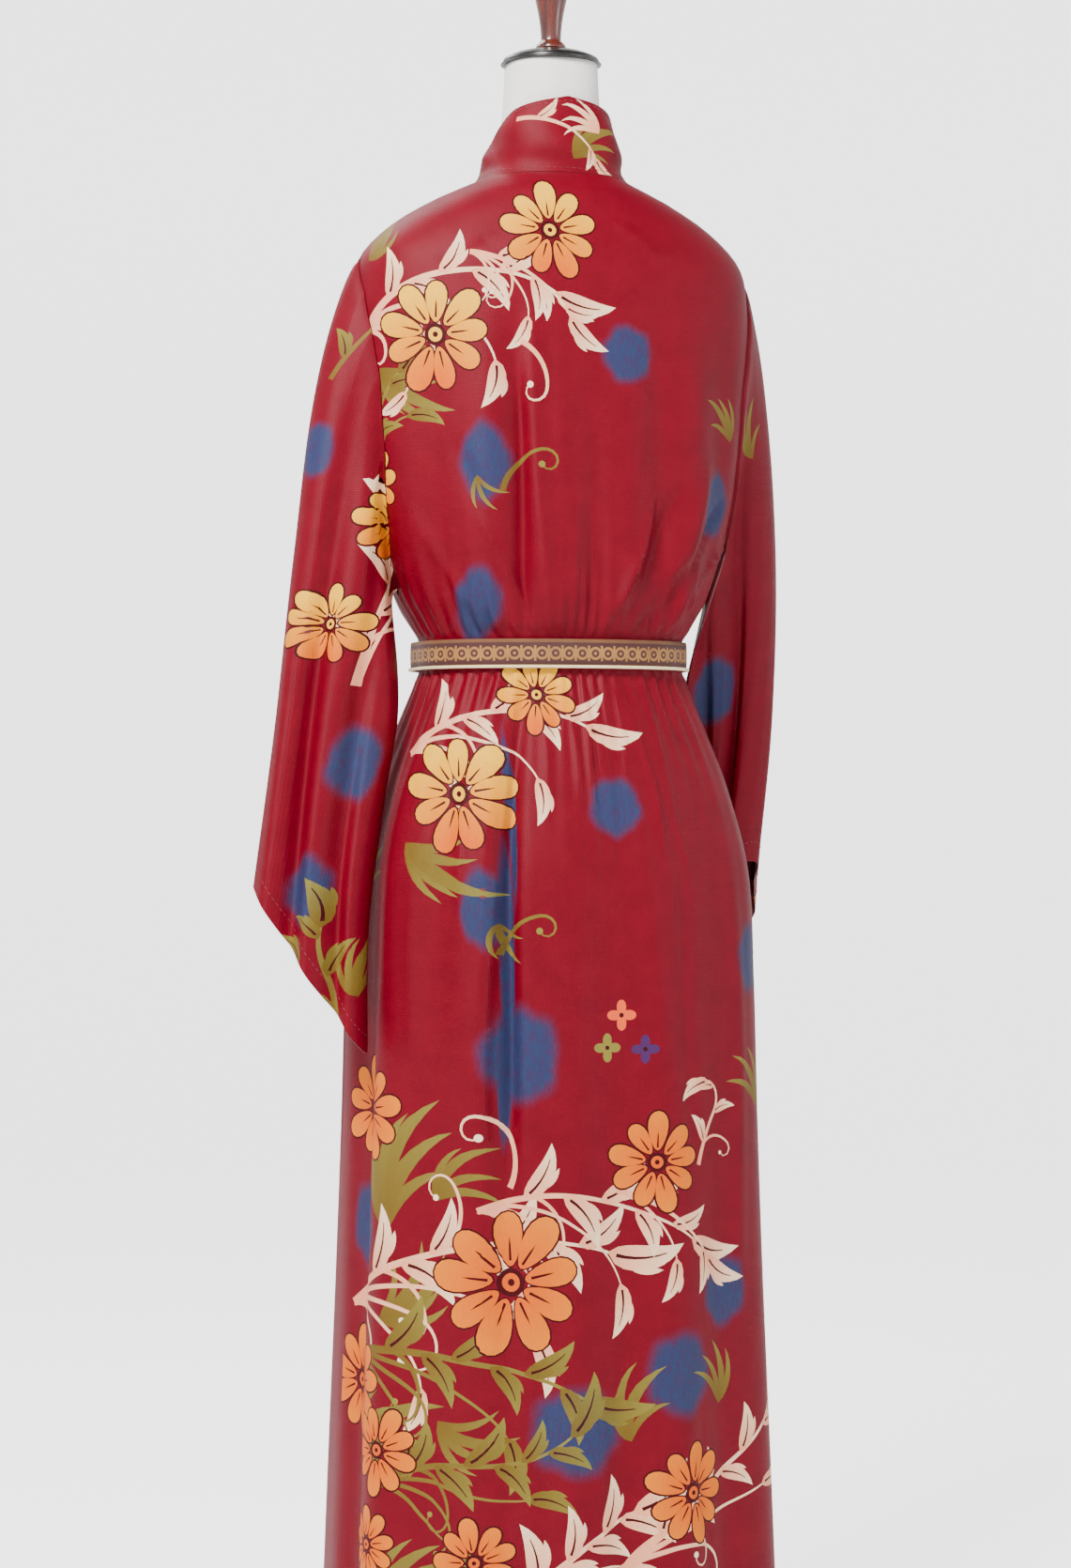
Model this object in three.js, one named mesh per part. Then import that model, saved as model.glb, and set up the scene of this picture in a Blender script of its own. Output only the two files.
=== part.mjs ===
// A long kimono robe with its tie belt, worn by a limbless dress form on a pole stand.
// Millimetres, +Z up. The origin is on the floor under the pole, +X is the wearer's left
// and +Y is the back. Angles are in degrees round the Z axis: 0 is the left side seam,
// 90 the centre back, 180 the right side seam and -90 the centre front.
import * as THREE from "three";

// ---- Driving dimensions ----
const CLOTH = 1.5; // wall of one layer of cloth
const BAND_CLOTH = 2; // wall of the doubled neckband
const BELT_CLOTH = 2.4; // wall of the folded belt
const SEAM_GAP = 0.35;
const NECKLINE_Z = 1484;
const SHOULDER_Z = 1408;
const UNDERARM_Z = 1095;
const BELT_Z = 1040;
const BELT_WIDTH = 28;
const BAND_PROUD = 0.3; // how far the neckband stands above the panel beside it
const ARMHOLE_HALF = 44; // half the width that the armhole gapes
const OVERLAP_LIFT = 4.6; // the left front lies this far over the right one
const FORM_BOTTOM_Z = 760;
const BASE_RADIUS = 150;
const BASE_HEIGHT = 26;
const POLE_RADIUS = 15;

const COLOURS = {
  satin: { color: 0x8f1f33, roughness: 0.42, metalness: 0 },
  sash: { color: 0x9a6a3c, roughness: 0.5, metalness: 0 },
  linen: { color: 0xece7dc, roughness: 0.9, metalness: 0 },
  blackMetal: { color: 0x15110f, roughness: 0.35, metalness: 0.6 },
  mahogany: { color: 0x5c1d10, roughness: 0.3, metalness: 0 },
};

// ---- The robe's outer surface: one row for each ring, from the hem to the top of the collar ----
const RING_SQUARENESS = 2.25;
const ROBE_RINGS = [
  { z: 50, side: 214, back: 164, front: 155 },
  { z: 190, side: 209, back: 160, front: 151 },
  { z: 330, side: 204, back: 156, front: 147 },
  { z: 470, side: 199, back: 152, front: 143 },
  { z: 610, side: 195, back: 149, front: 139 },
  { z: 740, side: 192, back: 146, front: 135 },
  { z: 840, side: 187, back: 141, front: 129 },
  { z: 915, side: 168, back: 127, front: 119 },
  { z: 965, side: 148, back: 113, front: 110 },
  { z: 998, side: 134, back: 102, front: 103 },
  { z: 1016, side: 127, back: 96, front: 99 },
  { z: 1026, side: 124, back: 94, front: 97 },
  { z: 1054, side: 124, back: 94, front: 97 },
  { z: 1068, side: 131, back: 102, front: 101 },
  { z: 1095, side: 147, back: 110, front: 106 },
  { z: 1150, side: 165, back: 112, front: 114 },
  { z: 1220, side: 179, back: 110, front: 122 },
  { z: 1290, side: 186, back: 107, front: 124 },
  { z: 1332, side: 190, back: 104, front: 117 },
  { z: 1370, side: 190, back: 100, front: 104 },
  { z: 1408, side: 183, back: 93, front: 88 },
  { z: 1440, side: 152, back: 83, front: 74 },
  { z: 1466, side: 108, back: 73, front: 62 },
  { z: 1484, side: 70, back: 62, front: 56 },
  { z: 1510, side: 60, back: 58, front: 52 },
  { z: 1535, side: 56, back: 55, front: 50 },
  { z: 1562, side: 53, back: 53, front: 49 },
];
const PANEL_HEIGHTS = ROBE_RINGS.map((ring) => ring.z).filter((z) => z <= NECKLINE_Z);

// Half the armhole's opening at each ring, as a share of ARMHOLE_HALF.
const ARMHOLE = [
  { z: 1095, open: 0 },
  { z: 1150, open: 0.56 },
  { z: 1220, open: 0.95 },
  { z: 1290, open: 0.99 },
  { z: 1332, open: 0.86 },
  { z: 1370, open: 0.58 },
  { z: 1408, open: 0 },
];

// How far round from its side seam each front reaches, to the neckband's seam.
const FRONT_REACH = [
  { z: 50, angle: 120 },
  { z: 1016, angle: 120 },
  { z: 1054, angle: 119 },
  { z: 1068, angle: 117 },
  { z: 1095, angle: 113 },
  { z: 1150, angle: 104 },
  { z: 1220, angle: 91 },
  { z: 1290, angle: 76 },
  { z: 1332, angle: 66 },
  { z: 1370, angle: 57 },
  { z: 1408, angle: 46 },
  { z: 1440, angle: 36 },
  { z: 1466, angle: 26 },
  { z: 1484, angle: 19 },
];

// The neckband's free edge beside each place of its seam, from the centre back to the hem.
const BAND_EDGE = [
  { seamAngle: 90, seamZ: 1484, freeAngle: 90, freeZ: 1556 },
  { seamAngle: 40, seamZ: 1484, freeAngle: 38, freeZ: 1545 },
  { seamAngle: 20, seamZ: 1484, freeAngle: 16, freeZ: 1530 },
  { seamAngle: 0, seamZ: 1484, freeAngle: -7, freeZ: 1513 },
  { seamAngle: -19, seamZ: 1484, freeAngle: -32, freeZ: 1500 },
  { seamAngle: -26, seamZ: 1466, freeAngle: -48, freeZ: 1488 },
  { seamAngle: -36, seamZ: 1440, freeAngle: -66, freeZ: 1464 },
  { seamAngle: -46, seamZ: 1408, freeAngle: -81, freeZ: 1432 },
  { seamAngle: -57, seamZ: 1370, freeAngle: -91, freeZ: 1394 },
  { seamAngle: -66, seamZ: 1332, freeAngle: -97, freeZ: 1354 },
  { seamAngle: -76, seamZ: 1290, freeAngle: -106, freeZ: 1312 },
  { seamAngle: -91, seamZ: 1220, freeAngle: -120, freeZ: 1242 },
  { seamAngle: -104, seamZ: 1150, freeAngle: -133, freeZ: 1172 },
  { seamAngle: -113, seamZ: 1095, freeAngle: -143, freeZ: 1112 },
  { seamAngle: -117, seamZ: 1068, freeAngle: -149, freeZ: 1078 },
  { seamAngle: -119, seamZ: 1054, freeAngle: -153, freeZ: 1058 },
  { seamAngle: -120, seamZ: 1026, freeAngle: -154, freeZ: 1026 },
  { seamAngle: -120, seamZ: 998, freeAngle: -153, freeZ: 998 },
  { seamAngle: -120, seamZ: 965, freeAngle: -151, freeZ: 965 },
  { seamAngle: -120, seamZ: 915, freeAngle: -149, freeZ: 915 },
  { seamAngle: -120, seamZ: 840, freeAngle: -146, freeZ: 840 },
  { seamAngle: -120, seamZ: 50, freeAngle: -143, freeZ: 50 },
];

// Soft vertical folds: a positive depth is a ridge and a negative one a trough.
const SKIRT_FOLDS = [
  { angle: 9, width: 6, belt: -2, hip: -8, hem: -11 },
  { angle: 24, width: 8, belt: 2, hip: 4, hem: 8 },
  { angle: 48, width: 8, belt: 3, hip: 8, hem: 4 },
  { angle: 58, width: 4.5, belt: -3, hip: -8, hem: -3 },
  { angle: 80, width: 9, belt: 1, hip: 2, hem: 7 },
  { angle: 99, width: 7, belt: 0, hip: -2, hem: -6 },
  { angle: 117, width: 9, belt: 1, hip: 3, hem: 7 },
  { angle: 135, width: 7, belt: -1, hip: -2, hem: -7 },
  { angle: 152, width: 8, belt: 1, hip: 3, hem: 8 },
  { angle: 170, width: 6, belt: -2, hip: -4, hem: -9 },
  { angle: 188, width: 7, belt: 1, hip: 4, hem: 7 },
  { angle: 205, width: 8, belt: -1, hip: -3, hem: -6 },
  { angle: 232, width: 14, belt: 0, hip: 3, hem: 5 },
  { angle: 262, width: 14, belt: 0, hip: -2, hem: -4 },
  { angle: 292, width: 14, belt: 0, hip: 3, hem: 5 },
  { angle: 318, width: 12, belt: 0, hip: -3, hem: -5 },
  { angle: 342, width: 8, belt: 1, hip: 4, hem: 7 },
];
const BODICE_FOLDS = [
  { angle: 28, width: 7, belt: -4, chest: -5 },
  { angle: 47, width: 7, belt: 4, chest: 5 },
  { angle: 60, width: 6, belt: -4, chest: -4 },
  { angle: 78, width: 8, belt: 2, chest: 1 },
  { angle: 112, width: 8, belt: 3, chest: 1 },
  { angle: 126, width: 6, belt: -3, chest: -2 },
  { angle: 140, width: 6, belt: 5, chest: 3 },
  { angle: 154, width: 6, belt: -4, chest: -3 },
  { angle: 205, width: 8, belt: 3, chest: 1 },
  { angle: 335, width: 8, belt: 3, chest: 1 },
];
const GATHERS = { count: 24, depth: 3, fade: 60, start: 10, frontShare: 0.15 };

// Sleeves hang flat from the armholes. Each row is one section between the fold that was the
// top of the sleeve (outer) and the underarm seam (inner); depth is half the sleeve's hollow.
const LEFT_SLEEVE = [
  { at: 0, outerX: 183, outerY: 0, outerZ: 1404, innerX: 147, innerY: 0, innerZ: 1099, depth: 40, fold: 0 },
  { at: 0.25, outerX: 226, outerY: 4, outerZ: 1290, innerX: 149, innerY: 20, innerZ: 1012, depth: 34, fold: 4 },
  { at: 0.5, outerX: 249, outerY: 10, outerZ: 1130, innerX: 172, innerY: 42, innerZ: 905, depth: 28, fold: 7 },
  { at: 0.75, outerX: 268, outerY: 18, outerZ: 975, innerX: 192, innerY: 60, innerZ: 790, depth: 25, fold: 9 },
  { at: 1, outerX: 290, outerY: 26, outerZ: 829, innerX: 196, innerY: 72, innerZ: 679, depth: 26, fold: 9 },
];
const RIGHT_SLEEVE = [
  { at: 0, outerX: -183, outerY: 0, outerZ: 1404, innerX: -147, innerY: 0, innerZ: 1099, depth: 40, fold: 0 },
  { at: 0.25, outerX: -217, outerY: -8, outerZ: 1290, innerX: -141, innerY: -36, innerZ: 1015, depth: 36, fold: 3 },
  { at: 0.5, outerX: -233, outerY: -24, outerZ: 1135, innerX: -163, innerY: -74, innerZ: 920, depth: 29, fold: 5 },
  { at: 0.75, outerX: -232, outerY: -42, outerZ: 985, innerX: -186, innerY: -108, innerZ: 815, depth: 27, fold: 7 },
  { at: 1, outerX: -220, outerY: -56, outerZ: 846, innerX: -186, innerY: -128, innerZ: 700, depth: 29, fold: 7 },
];
const SLEEVE_SECTIONS = [0, 0.04, 0.11, 0.2, 0.32, 0.45, 0.58, 0.72, 0.86, 1];
const SLEEVE_COLUMNS = 28;
const SLEEVE_WAVES = 2.5; // folds across a sleeve

// ---- The dress form: one row for each ring, from the bottom of the hips to the neck ----
const FORM_RINGS = [
  { z: 760, side: 152, back: 106, front: 94 },
  { z: 772, side: 158, back: 111, front: 98 },
  { z: 840, side: 160, back: 116, front: 102 },
  { z: 915, side: 145, back: 106, front: 96 },
  { z: 1000, side: 117, back: 87, front: 88 },
  { z: 1060, side: 112, back: 82, front: 88 },
  { z: 1150, side: 124, back: 84, front: 98 },
  { z: 1220, side: 139, back: 88, front: 112 },
  { z: 1300, side: 154, back: 92, front: 116 },
  { z: 1365, side: 170, back: 90, front: 92 },
  { z: 1408, side: 178, back: 87, front: 78 },
  { z: 1440, side: 147.5, back: 78, front: 67 },
  { z: 1466, side: 99, back: 66, front: 53 },
  { z: 1484, side: 63, back: 56, front: 48 },
  { z: 1500, side: 54, back: 52, front: 48 },
  { z: 1545, side: 46, back: 46, front: 45 },
  { z: 1594, side: 43, back: 43, front: 43 },
];
const FORM_COLUMNS = 36;

// Turned profiles, as radius and height above the piece's own foot.
const NECK_CAP_PROFILE = [
  [0, 0], [44, 0], [45.5, 2.5], [43, 6], [32, 10.5], [14, 13.5], [0, 14],
];
const FINIAL_PROFILE = [
  [0, 0], [13, 0], [14, 3], [12, 6], [9.5, 9], [10, 20], [12, 34], [15.5, 50], [19, 66],
  [21, 80], [20, 92], [15, 102], [9, 107], [8.5, 110], [11, 114], [11.5, 121], [7, 128], [0, 131],
];
const BASE_PROFILE = [
  [0, 0], [BASE_RADIUS - 4, 0], [BASE_RADIUS, 4], [BASE_RADIUS, 11], [BASE_RADIUS - 8, 16],
  [BASE_RADIUS - 60, 20], [34, 22], [28, BASE_HEIGHT], [0, BASE_HEIGHT],
];

// ---- Tables and surfaces ----
const RADIAN = Math.PI / 180;

const cubic = (a, slopeA, b, slopeB, t) =>
  a + t * (slopeA + t * (3 * (b - a) - 2 * slopeA - slopeB + t * (2 * (a - b) + slopeA + slopeB)));

// A table's columns at one value of its key, on smooth curves through the rows.
function rowAt(table, key, value) {
  const last = table.length - 1;
  let i = 0;
  while (i < last - 1 && table[i + 1][key] < value) i++;
  const [before, a, b, after] = [table[Math.max(i - 1, 0)], table[i], table[i + 1], table[Math.min(i + 2, last)]];
  const span = b[key] - a[key];
  const t = THREE.MathUtils.clamp((value - a[key]) / span, 0, 1);
  const row = {};
  for (const column of Object.keys(a)) {
    const slopeA = ((b[column] - before[column]) / (b[key] - before[key])) * span;
    const slopeB = ((after[column] - a[column]) / (after[key] - a[key])) * span;
    row[column] = cubic(a[column], slopeA, b[column], slopeB, t);
  }
  return row;
}

// The same with straight lines between the rows, as the panels' own edges run.
function straightAt(table, key, value, column) {
  const last = table.length - 1;
  if (value <= table[0][key]) return table[0][column];
  if (value >= table[last][key]) return table[last][column];
  const i = table.findIndex((row) => row[key] > value);
  const [a, b] = [table[i - 1], table[i]];
  return THREE.MathUtils.lerp(a[column], b[column], (value - a[key]) / (b[key] - a[key]));
}

const smooth = (from, to, value) => THREE.MathUtils.smoothstep(value, from, to);
const turnBetween = (a, b) => THREE.MathUtils.euclideanModulo(a - b + 180, 360) - 180;
const ridge = (angle, fold) => Math.exp(-((turnBetween(angle, fold.angle) / fold.width) ** 2));

// The distance from the axis to a rounded ring that is deeper at the back than at the front.
function ringRadius(row, angle) {
  const [across, along] = [Math.cos(angle * RADIAN), Math.sin(angle * RADIAN)];
  const depth = along > 0 ? row.back : row.front;
  const sum = Math.abs(across / row.side) ** RING_SQUARENESS + Math.abs(along / depth) ** RING_SQUARENESS;
  return sum ** (-1 / RING_SQUARENESS);
}

// The folds' depth at a place on the robe. All of them die out under the belt.
function foldDepth(angle, z) {
  const half = BELT_WIDTH / 2;
  const away = Math.abs(z - BELT_Z) - half;
  if (away <= 0) return 0;
  const toFront = 1 - smooth(-0.45, 0.15, Math.sin(angle * RADIAN));
  const gathers =
    GATHERS.depth * THREE.MathUtils.lerp(1, GATHERS.frontShare, toFront) *
    smooth(0, GATHERS.start, away) * Math.exp(-away / GATHERS.fade) * Math.cos(GATHERS.count * angle * RADIAN);
  if (z < BELT_Z) {
    const [toHip, toHem] = [smooth(0, 200, away), smooth(250, 900, away)];
    const depth = (fold) => THREE.MathUtils.lerp(THREE.MathUtils.lerp(fold.belt, fold.hip, toHip), fold.hem, toHem);
    return SKIRT_FOLDS.reduce(
      (sum, fold) => sum + smooth(0, 40, away) * depth(fold) * ridge(angle, fold), gathers);
  }
  const fade = smooth(0, 30, away) * (1 - smooth(200, 330, away));
  const toChest = smooth(30, 160, away);
  return BODICE_FOLDS.reduce(
    (sum, fold) => sum + fade * THREE.MathUtils.lerp(fold.belt, fold.chest, toChest) * ridge(angle, fold),
    gathers * fade);
}

// How far the left front stands off, so that it clears the right front under it.
function overlapLift(angle) {
  return OVERLAP_LIFT * smooth(15, 27, -turnBetween(angle, 0));
}
const noLift = () => 0;

function robePoint(angle, z, lift = 0) {
  const radius = ringRadius(rowAt(ROBE_RINGS, "z", z), angle) + foldDepth(angle, z) + lift;
  return new THREE.Vector3(radius * Math.cos(angle * RADIAN), radius * Math.sin(angle * RADIAN), z);
}

function robeNormal(angle, z) {
  const [turn, rise] = [0.5, 1];
  const row = (height) => ringRadius(rowAt(ROBE_RINGS, "z", height), angle) + foldDepth(angle, height);
  const round = robePoint(angle + turn, z).sub(robePoint(angle - turn, z));
  const slope = (row(z + rise) - row(z - rise)) / (2 * rise);
  const up = new THREE.Vector3(slope * Math.cos(angle * RADIAN), slope * Math.sin(angle * RADIAN), 1);
  return round.cross(up).normalize();
}

const degreesFor = (length, radius) => length / radius / RADIAN;

// ---- Building closed solids from grids of points ----
// A grid is rows of { point, normal }. The solid is the wall between the points and the same
// points moved in by the wall's thickness. A ringed grid's last column joins its first one.
function wallSolid(grid, thickness, ringed = false) {
  const [rows, columns] = [grid.length, grid[0].length];
  const points = [];
  for (const inward of [0, thickness]) {
    for (const row of grid) {
      for (const { point, normal } of row) points.push(point.clone().addScaledVector(normal, -inward));
    }
  }
  const outer = (i, j) => i * columns + (j % columns);
  const inner = (i, j) => rows * columns + outer(i, j);
  const faces = [];
  const quad = (a, b, c, d) => faces.push(a, b, c, a, c, d);
  const spans = ringed ? columns : columns - 1;
  for (let i = 0; i < rows - 1; i++) {
    for (let j = 0; j < spans; j++) {
      quad(outer(i, j), outer(i, j + 1), outer(i + 1, j + 1), outer(i + 1, j));
      quad(inner(i, j + 1), inner(i, j), inner(i + 1, j), inner(i + 1, j + 1));
    }
    if (!ringed) {
      quad(inner(i, 0), outer(i, 0), outer(i + 1, 0), inner(i + 1, 0));
      quad(outer(i, spans), inner(i, spans), inner(i + 1, spans), outer(i + 1, spans));
    }
  }
  for (let j = 0; j < spans; j++) {
    quad(outer(0, j + 1), outer(0, j), inner(0, j), inner(0, j + 1));
    quad(outer(rows - 1, j), outer(rows - 1, j + 1), inner(rows - 1, j + 1), inner(rows - 1, j));
  }
  return facingOut(points, faces);
}

// A solid through closed rings of points, with a flat cap at each end.
function stackedSolid(rings) {
  const columns = rings[0].length;
  const points = rings.flat();
  const centres = [rings[0], rings[rings.length - 1]].map((ring) =>
    ring.reduce((sum, point) => sum.add(point), new THREE.Vector3()).divideScalar(columns));
  const [low, high] = [points.push(centres[0]) - 1, points.push(centres[1]) - 1];
  const at = (i, j) => i * columns + (j % columns);
  const faces = [];
  for (let j = 0; j < columns; j++) {
    for (let i = 0; i < rings.length - 1; i++) {
      faces.push(at(i, j), at(i, j + 1), at(i + 1, j + 1), at(i, j), at(i + 1, j + 1), at(i + 1, j));
    }
    faces.push(low, at(0, j + 1), at(0, j), high, at(rings.length - 1, j), at(rings.length - 1, j + 1));
  }
  return facingOut(points, faces);
}

// A geometry from points and faces, turned round if its faces point inwards.
function facingOut(points, faces) {
  let volume = 0;
  for (let f = 0; f < faces.length; f += 3) {
    const [a, b, c] = [points[faces[f]], points[faces[f + 1]], points[faces[f + 2]]];
    volume += a.dot(new THREE.Vector3().crossVectors(b, c));
  }
  const order = volume < 0 ? faces.toReversed() : faces;
  const geometry = new THREE.BufferGeometry().setFromPoints(points).setIndex(order);
  geometry.computeVertexNormals();
  return geometry;
}

const steps = (count) => Array.from({ length: count + 1 }, (_, i) => i / count);

// ---- Panels ----
const armholeHalf = (z) => ARMHOLE_HALF * straightAt(ARMHOLE, "z", z, "open");

// A panel's edge at the side: the side seam, the armhole or the shoulder seam.
const sideEdge = (z) => degreesFor(armholeHalf(z) + SEAM_GAP / 2, rowAt(ROBE_RINGS, "z", z).side);

const frontEdge = (z) => straightAt(FRONT_REACH, "z", z, "angle");

function panelSolid(columns, edges, lift) {
  const grid = PANEL_HEIGHTS.map((z) => {
    const [from, to] = edges(z);
    return steps(columns).map((share) => {
      const angle = THREE.MathUtils.lerp(from, to, share);
      return { point: robePoint(angle, z, lift(angle)), normal: robeNormal(angle, z) };
    });
  });
  return wallSolid(grid, CLOTH);
}

const backPanel = () => panelSolid(48, (z) => [sideEdge(z), 180 - sideEdge(z)], noLift);
const leftFront = () => panelSolid(24, (z) => [-frontEdge(z), -sideEdge(z)], overlapLift);
const rightFront = () => panelSolid(24, (z) => [180 + sideEdge(z), 180 + frontEdge(z)], noLift);

// ---- Sleeves ----
// A point of the sleeve's first section, which lies in the armhole's opening.
function armholePoint(side, turn) {
  const z = THREE.MathUtils.lerp(UNDERARM_Z + 5, SHOULDER_Z - 5, (1 - Math.cos(turn)) / 2);
  const aside = Math.sign(Math.sin(turn)) * Math.max(armholeHalf(z) - 2 * SEAM_GAP, 0.2);
  const share = Math.abs(Math.sin(turn)) < 1e-6 ? 0 : aside;
  const angle = degreesFor(share, rowAt(ROBE_RINGS, "z", z).side);
  return side > 0 ? robePoint(angle, z) : robePoint(180 - angle, z);
}

function sleevePoint(table, side, at, turn) {
  const row = rowAt(table, "at", at);
  const inner = new THREE.Vector3(row.innerX, row.innerY, row.innerZ);
  const outer = new THREE.Vector3(row.outerX, row.outerY, row.outerZ);
  const across = outer.clone().sub(inner);
  const back = new THREE.Vector3(-across.y, across.x, 0).multiplyScalar(side).normalize();
  const share = (1 - Math.cos(turn)) / 2;
  const fullness = Math.sign(Math.sin(turn)) * Math.abs(Math.sin(turn)) ** 0.75;
  const wave = row.fold * Math.sin(SLEEVE_WAVES * 2 * Math.PI * share + 0.6) * Math.sqrt(share * (1 - share)) * 2;
  const hanging = inner.addScaledVector(across, share).addScaledVector(back, row.depth * fullness + wave);
  const start = armholePoint(side, turn).add(new THREE.Vector3(side * 70 * at, 0, -40 * at));
  return start.lerp(hanging, smooth(0, 0.36, at));
}

function sleeveSolid(table, side) {
  const turns = steps(SLEEVE_COLUMNS).slice(0, -1).map((share) => share * 2 * Math.PI);
  const grid = SLEEVE_SECTIONS.map((at) =>
    turns.map((turn) => {
      const point = sleevePoint(table, side, at, turn);
      const [step, reach] = [0.02, 0.01];
      const round = sleevePoint(table, side, at, turn + step).sub(sleevePoint(table, side, at, turn - step));
      const down = sleevePoint(table, side, Math.min(at + reach, 1), turn)
        .sub(sleevePoint(table, side, Math.max(at - reach, 0), turn));
      const normal = round.cross(down).multiplyScalar(side).normalize();
      return { point, normal: at === 0 ? new THREE.Vector3(side, 0, 0) : normal };
    }));
  return wallSolid(grid, CLOTH, true);
}

// ---- The neckband: one strip from hem to hem round the back of the neck ----
const NECK_TURNS = 12;
const BAND_COLUMNS = 4;

// Each station of the band's left half, from the centre back to the hem: where its seam lies,
// just beyond the edge of the panels, and where its free edge lies.
function bandStations() {
  const neckEnd = BAND_EDGE.findIndex((row) => row.seamZ < NECKLINE_Z) - 1;
  const neck = BAND_EDGE.slice(0, neckEnd + 1).toReversed();
  const round = steps(NECK_TURNS).map((share) => {
    const angle = THREE.MathUtils.lerp(90, BAND_EDGE[neckEnd].seamAngle, share);
    const row = rowAt(neck, "seamAngle", angle);
    return { ...row, seamAngle: angle, seamZ: NECKLINE_Z + SEAM_GAP };
  });
  const fall = BAND_EDGE.slice(neckEnd).toReversed();
  const down = PANEL_HEIGHTS.toReversed().slice(1).map((z) => {
    const row = rowAt(fall, "seamZ", z);
    const reach = frontEdge(z);
    const beyond = degreesFor(SEAM_GAP * 1.3, ringRadius(rowAt(ROBE_RINGS, "z", z), -reach));
    return { ...row, seamAngle: -reach - beyond, seamZ: z };
  });
  return [...round, ...down];
}

// Points across half of the band at each station. The lift is that of the front beside it.
function bandHalf(lift, side) {
  return bandStations().map(({ seamAngle, seamZ, freeAngle, freeZ }) =>
    steps(BAND_COLUMNS).map((share) => {
      const turn = THREE.MathUtils.lerp(seamAngle, freeAngle, share);
      const [angle, z] = [side > 0 ? turn : 180 - turn, THREE.MathUtils.lerp(seamZ, freeZ, share)];
      const normal = robeNormal(angle, z);
      return { point: robePoint(angle, z, lift(angle)).addScaledVector(normal, BAND_PROUD), normal };
    }));
}

function neckband() {
  const left = bandHalf(overlapLift, 1);
  const right = bandHalf(noLift, -1);
  const grid = [...right.toReversed(), ...left.slice(1)];
  return wallSolid(grid, BAND_CLOTH);
}

// ---- The belt, its knot and its two tails ----
const BELT_CLEARANCE = 1.5;
const beltLift = (angle) => {
  const round = THREE.MathUtils.euclideanModulo(-angle, 360);
  return (OVERLAP_LIFT + BAND_PROUD) * smooth(2, 22, round) * (1 - smooth(157, 177, round)) + BELT_CLEARANCE;
};

function beltRing() {
  const outward = (angle) => new THREE.Vector3(Math.cos(angle * RADIAN), Math.sin(angle * RADIAN), 0);
  const grid = [-1, 0, 1].map((share) =>
    steps(72).slice(0, -1).map((turn) => {
      const normal = outward(turn * 360);
      const radius = ringRadius(rowAt(ROBE_RINGS, "z", BELT_Z - BELT_WIDTH / 2), turn * 360);
      const crown = share === 0 ? 0.5 : 0;
      const point = normal.clone().multiplyScalar(radius + beltLift(turn * 360) + BELT_CLOTH + crown);
      return { point: point.setZ(BELT_Z + share * (BELT_WIDTH / 2 - 1)), normal };
    }));
  return wallSolid(grid, BELT_CLOTH, true);
}

const KNOT = { wide: 19, deep: 11, tall: 17 };
const beltFrontY = () =>
  -(rowAt(ROBE_RINGS, "z", BELT_Z - BELT_WIDTH / 2).front + beltLift(-90) + BELT_CLOTH + 0.5);

function beltKnot() {
  const shape = new THREE.SphereGeometry(1, 20, 12);
  shape.scale(KNOT.wide, KNOT.deep, KNOT.tall);
  shape.translate(0, beltFrontY() - SEAM_GAP - KNOT.deep, BELT_Z);
  shape.deleteAttribute("uv");
  return shape;
}

// A tail hangs from under the knot and then lies along the front of the skirt.
function beltTail(lean, length) {
  const width = BELT_WIDTH - 2;
  const top = BELT_Z - KNOT.tall - SEAM_GAP;
  const grid = steps(12).map((share) => {
    const z = top - share * length;
    const settle = smooth(0, 80, top - z);
    const skirt = -robePoint(-90, z).y + OVERLAP_LIFT + 3;
    const y = -THREE.MathUtils.lerp(-beltFrontY() + KNOT.deep, skirt + 3, settle);
    const middle = lean * (width / 2 + 1 + 26 * share);
    return [0.5, 0, -0.5].map((part) => ({
      point: new THREE.Vector3(middle + part * width, y - (part === 0 ? 0.8 : 0), z),
      normal: new THREE.Vector3(0, -1, 0),
    }));
  });
  return wallSolid(grid, BELT_CLOTH);
}

// ---- The dress form and its stand ----
function formTorso() {
  const rings = FORM_RINGS.map((row) =>
    steps(FORM_COLUMNS).slice(0, -1).map((share) => {
      const angle = share * 360;
      const radius = ringRadius(row, angle);
      return new THREE.Vector3(radius * Math.cos(angle * RADIAN), radius * Math.sin(angle * RADIAN), row.z);
    }));
  return stackedSolid(rings);
}

function turned(profile, foot, segments) {
  const shape = new THREE.LatheGeometry(profile.map(([r, h]) => new THREE.Vector2(r, h)), segments);
  shape.rotateX(Math.PI / 2);
  shape.translate(0, 0, foot);
  shape.deleteAttribute("uv");
  return shape;
}

// ---- The object ----
const robe = new THREE.Group();
const add = (name, geometry, finish) => {
  const mesh = new THREE.Mesh(geometry, new THREE.MeshStandardMaterial(COLOURS[finish]));
  mesh.name = name;
  robe.add(mesh);
};

const neckTop = FORM_RINGS[FORM_RINGS.length - 1].z;
const capHeight = NECK_CAP_PROFILE[NECK_CAP_PROFILE.length - 1][1];
const poleFoot = BASE_HEIGHT + SEAM_GAP;
const poleTop = FORM_BOTTOM_Z - SEAM_GAP;
const poleProfile = [
  [0, 0], [POLE_RADIUS + 5, 0], [POLE_RADIUS + 5, 10], [POLE_RADIUS, 18],
  [POLE_RADIUS, poleTop - poleFoot], [0, poleTop - poleFoot],
];

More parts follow.
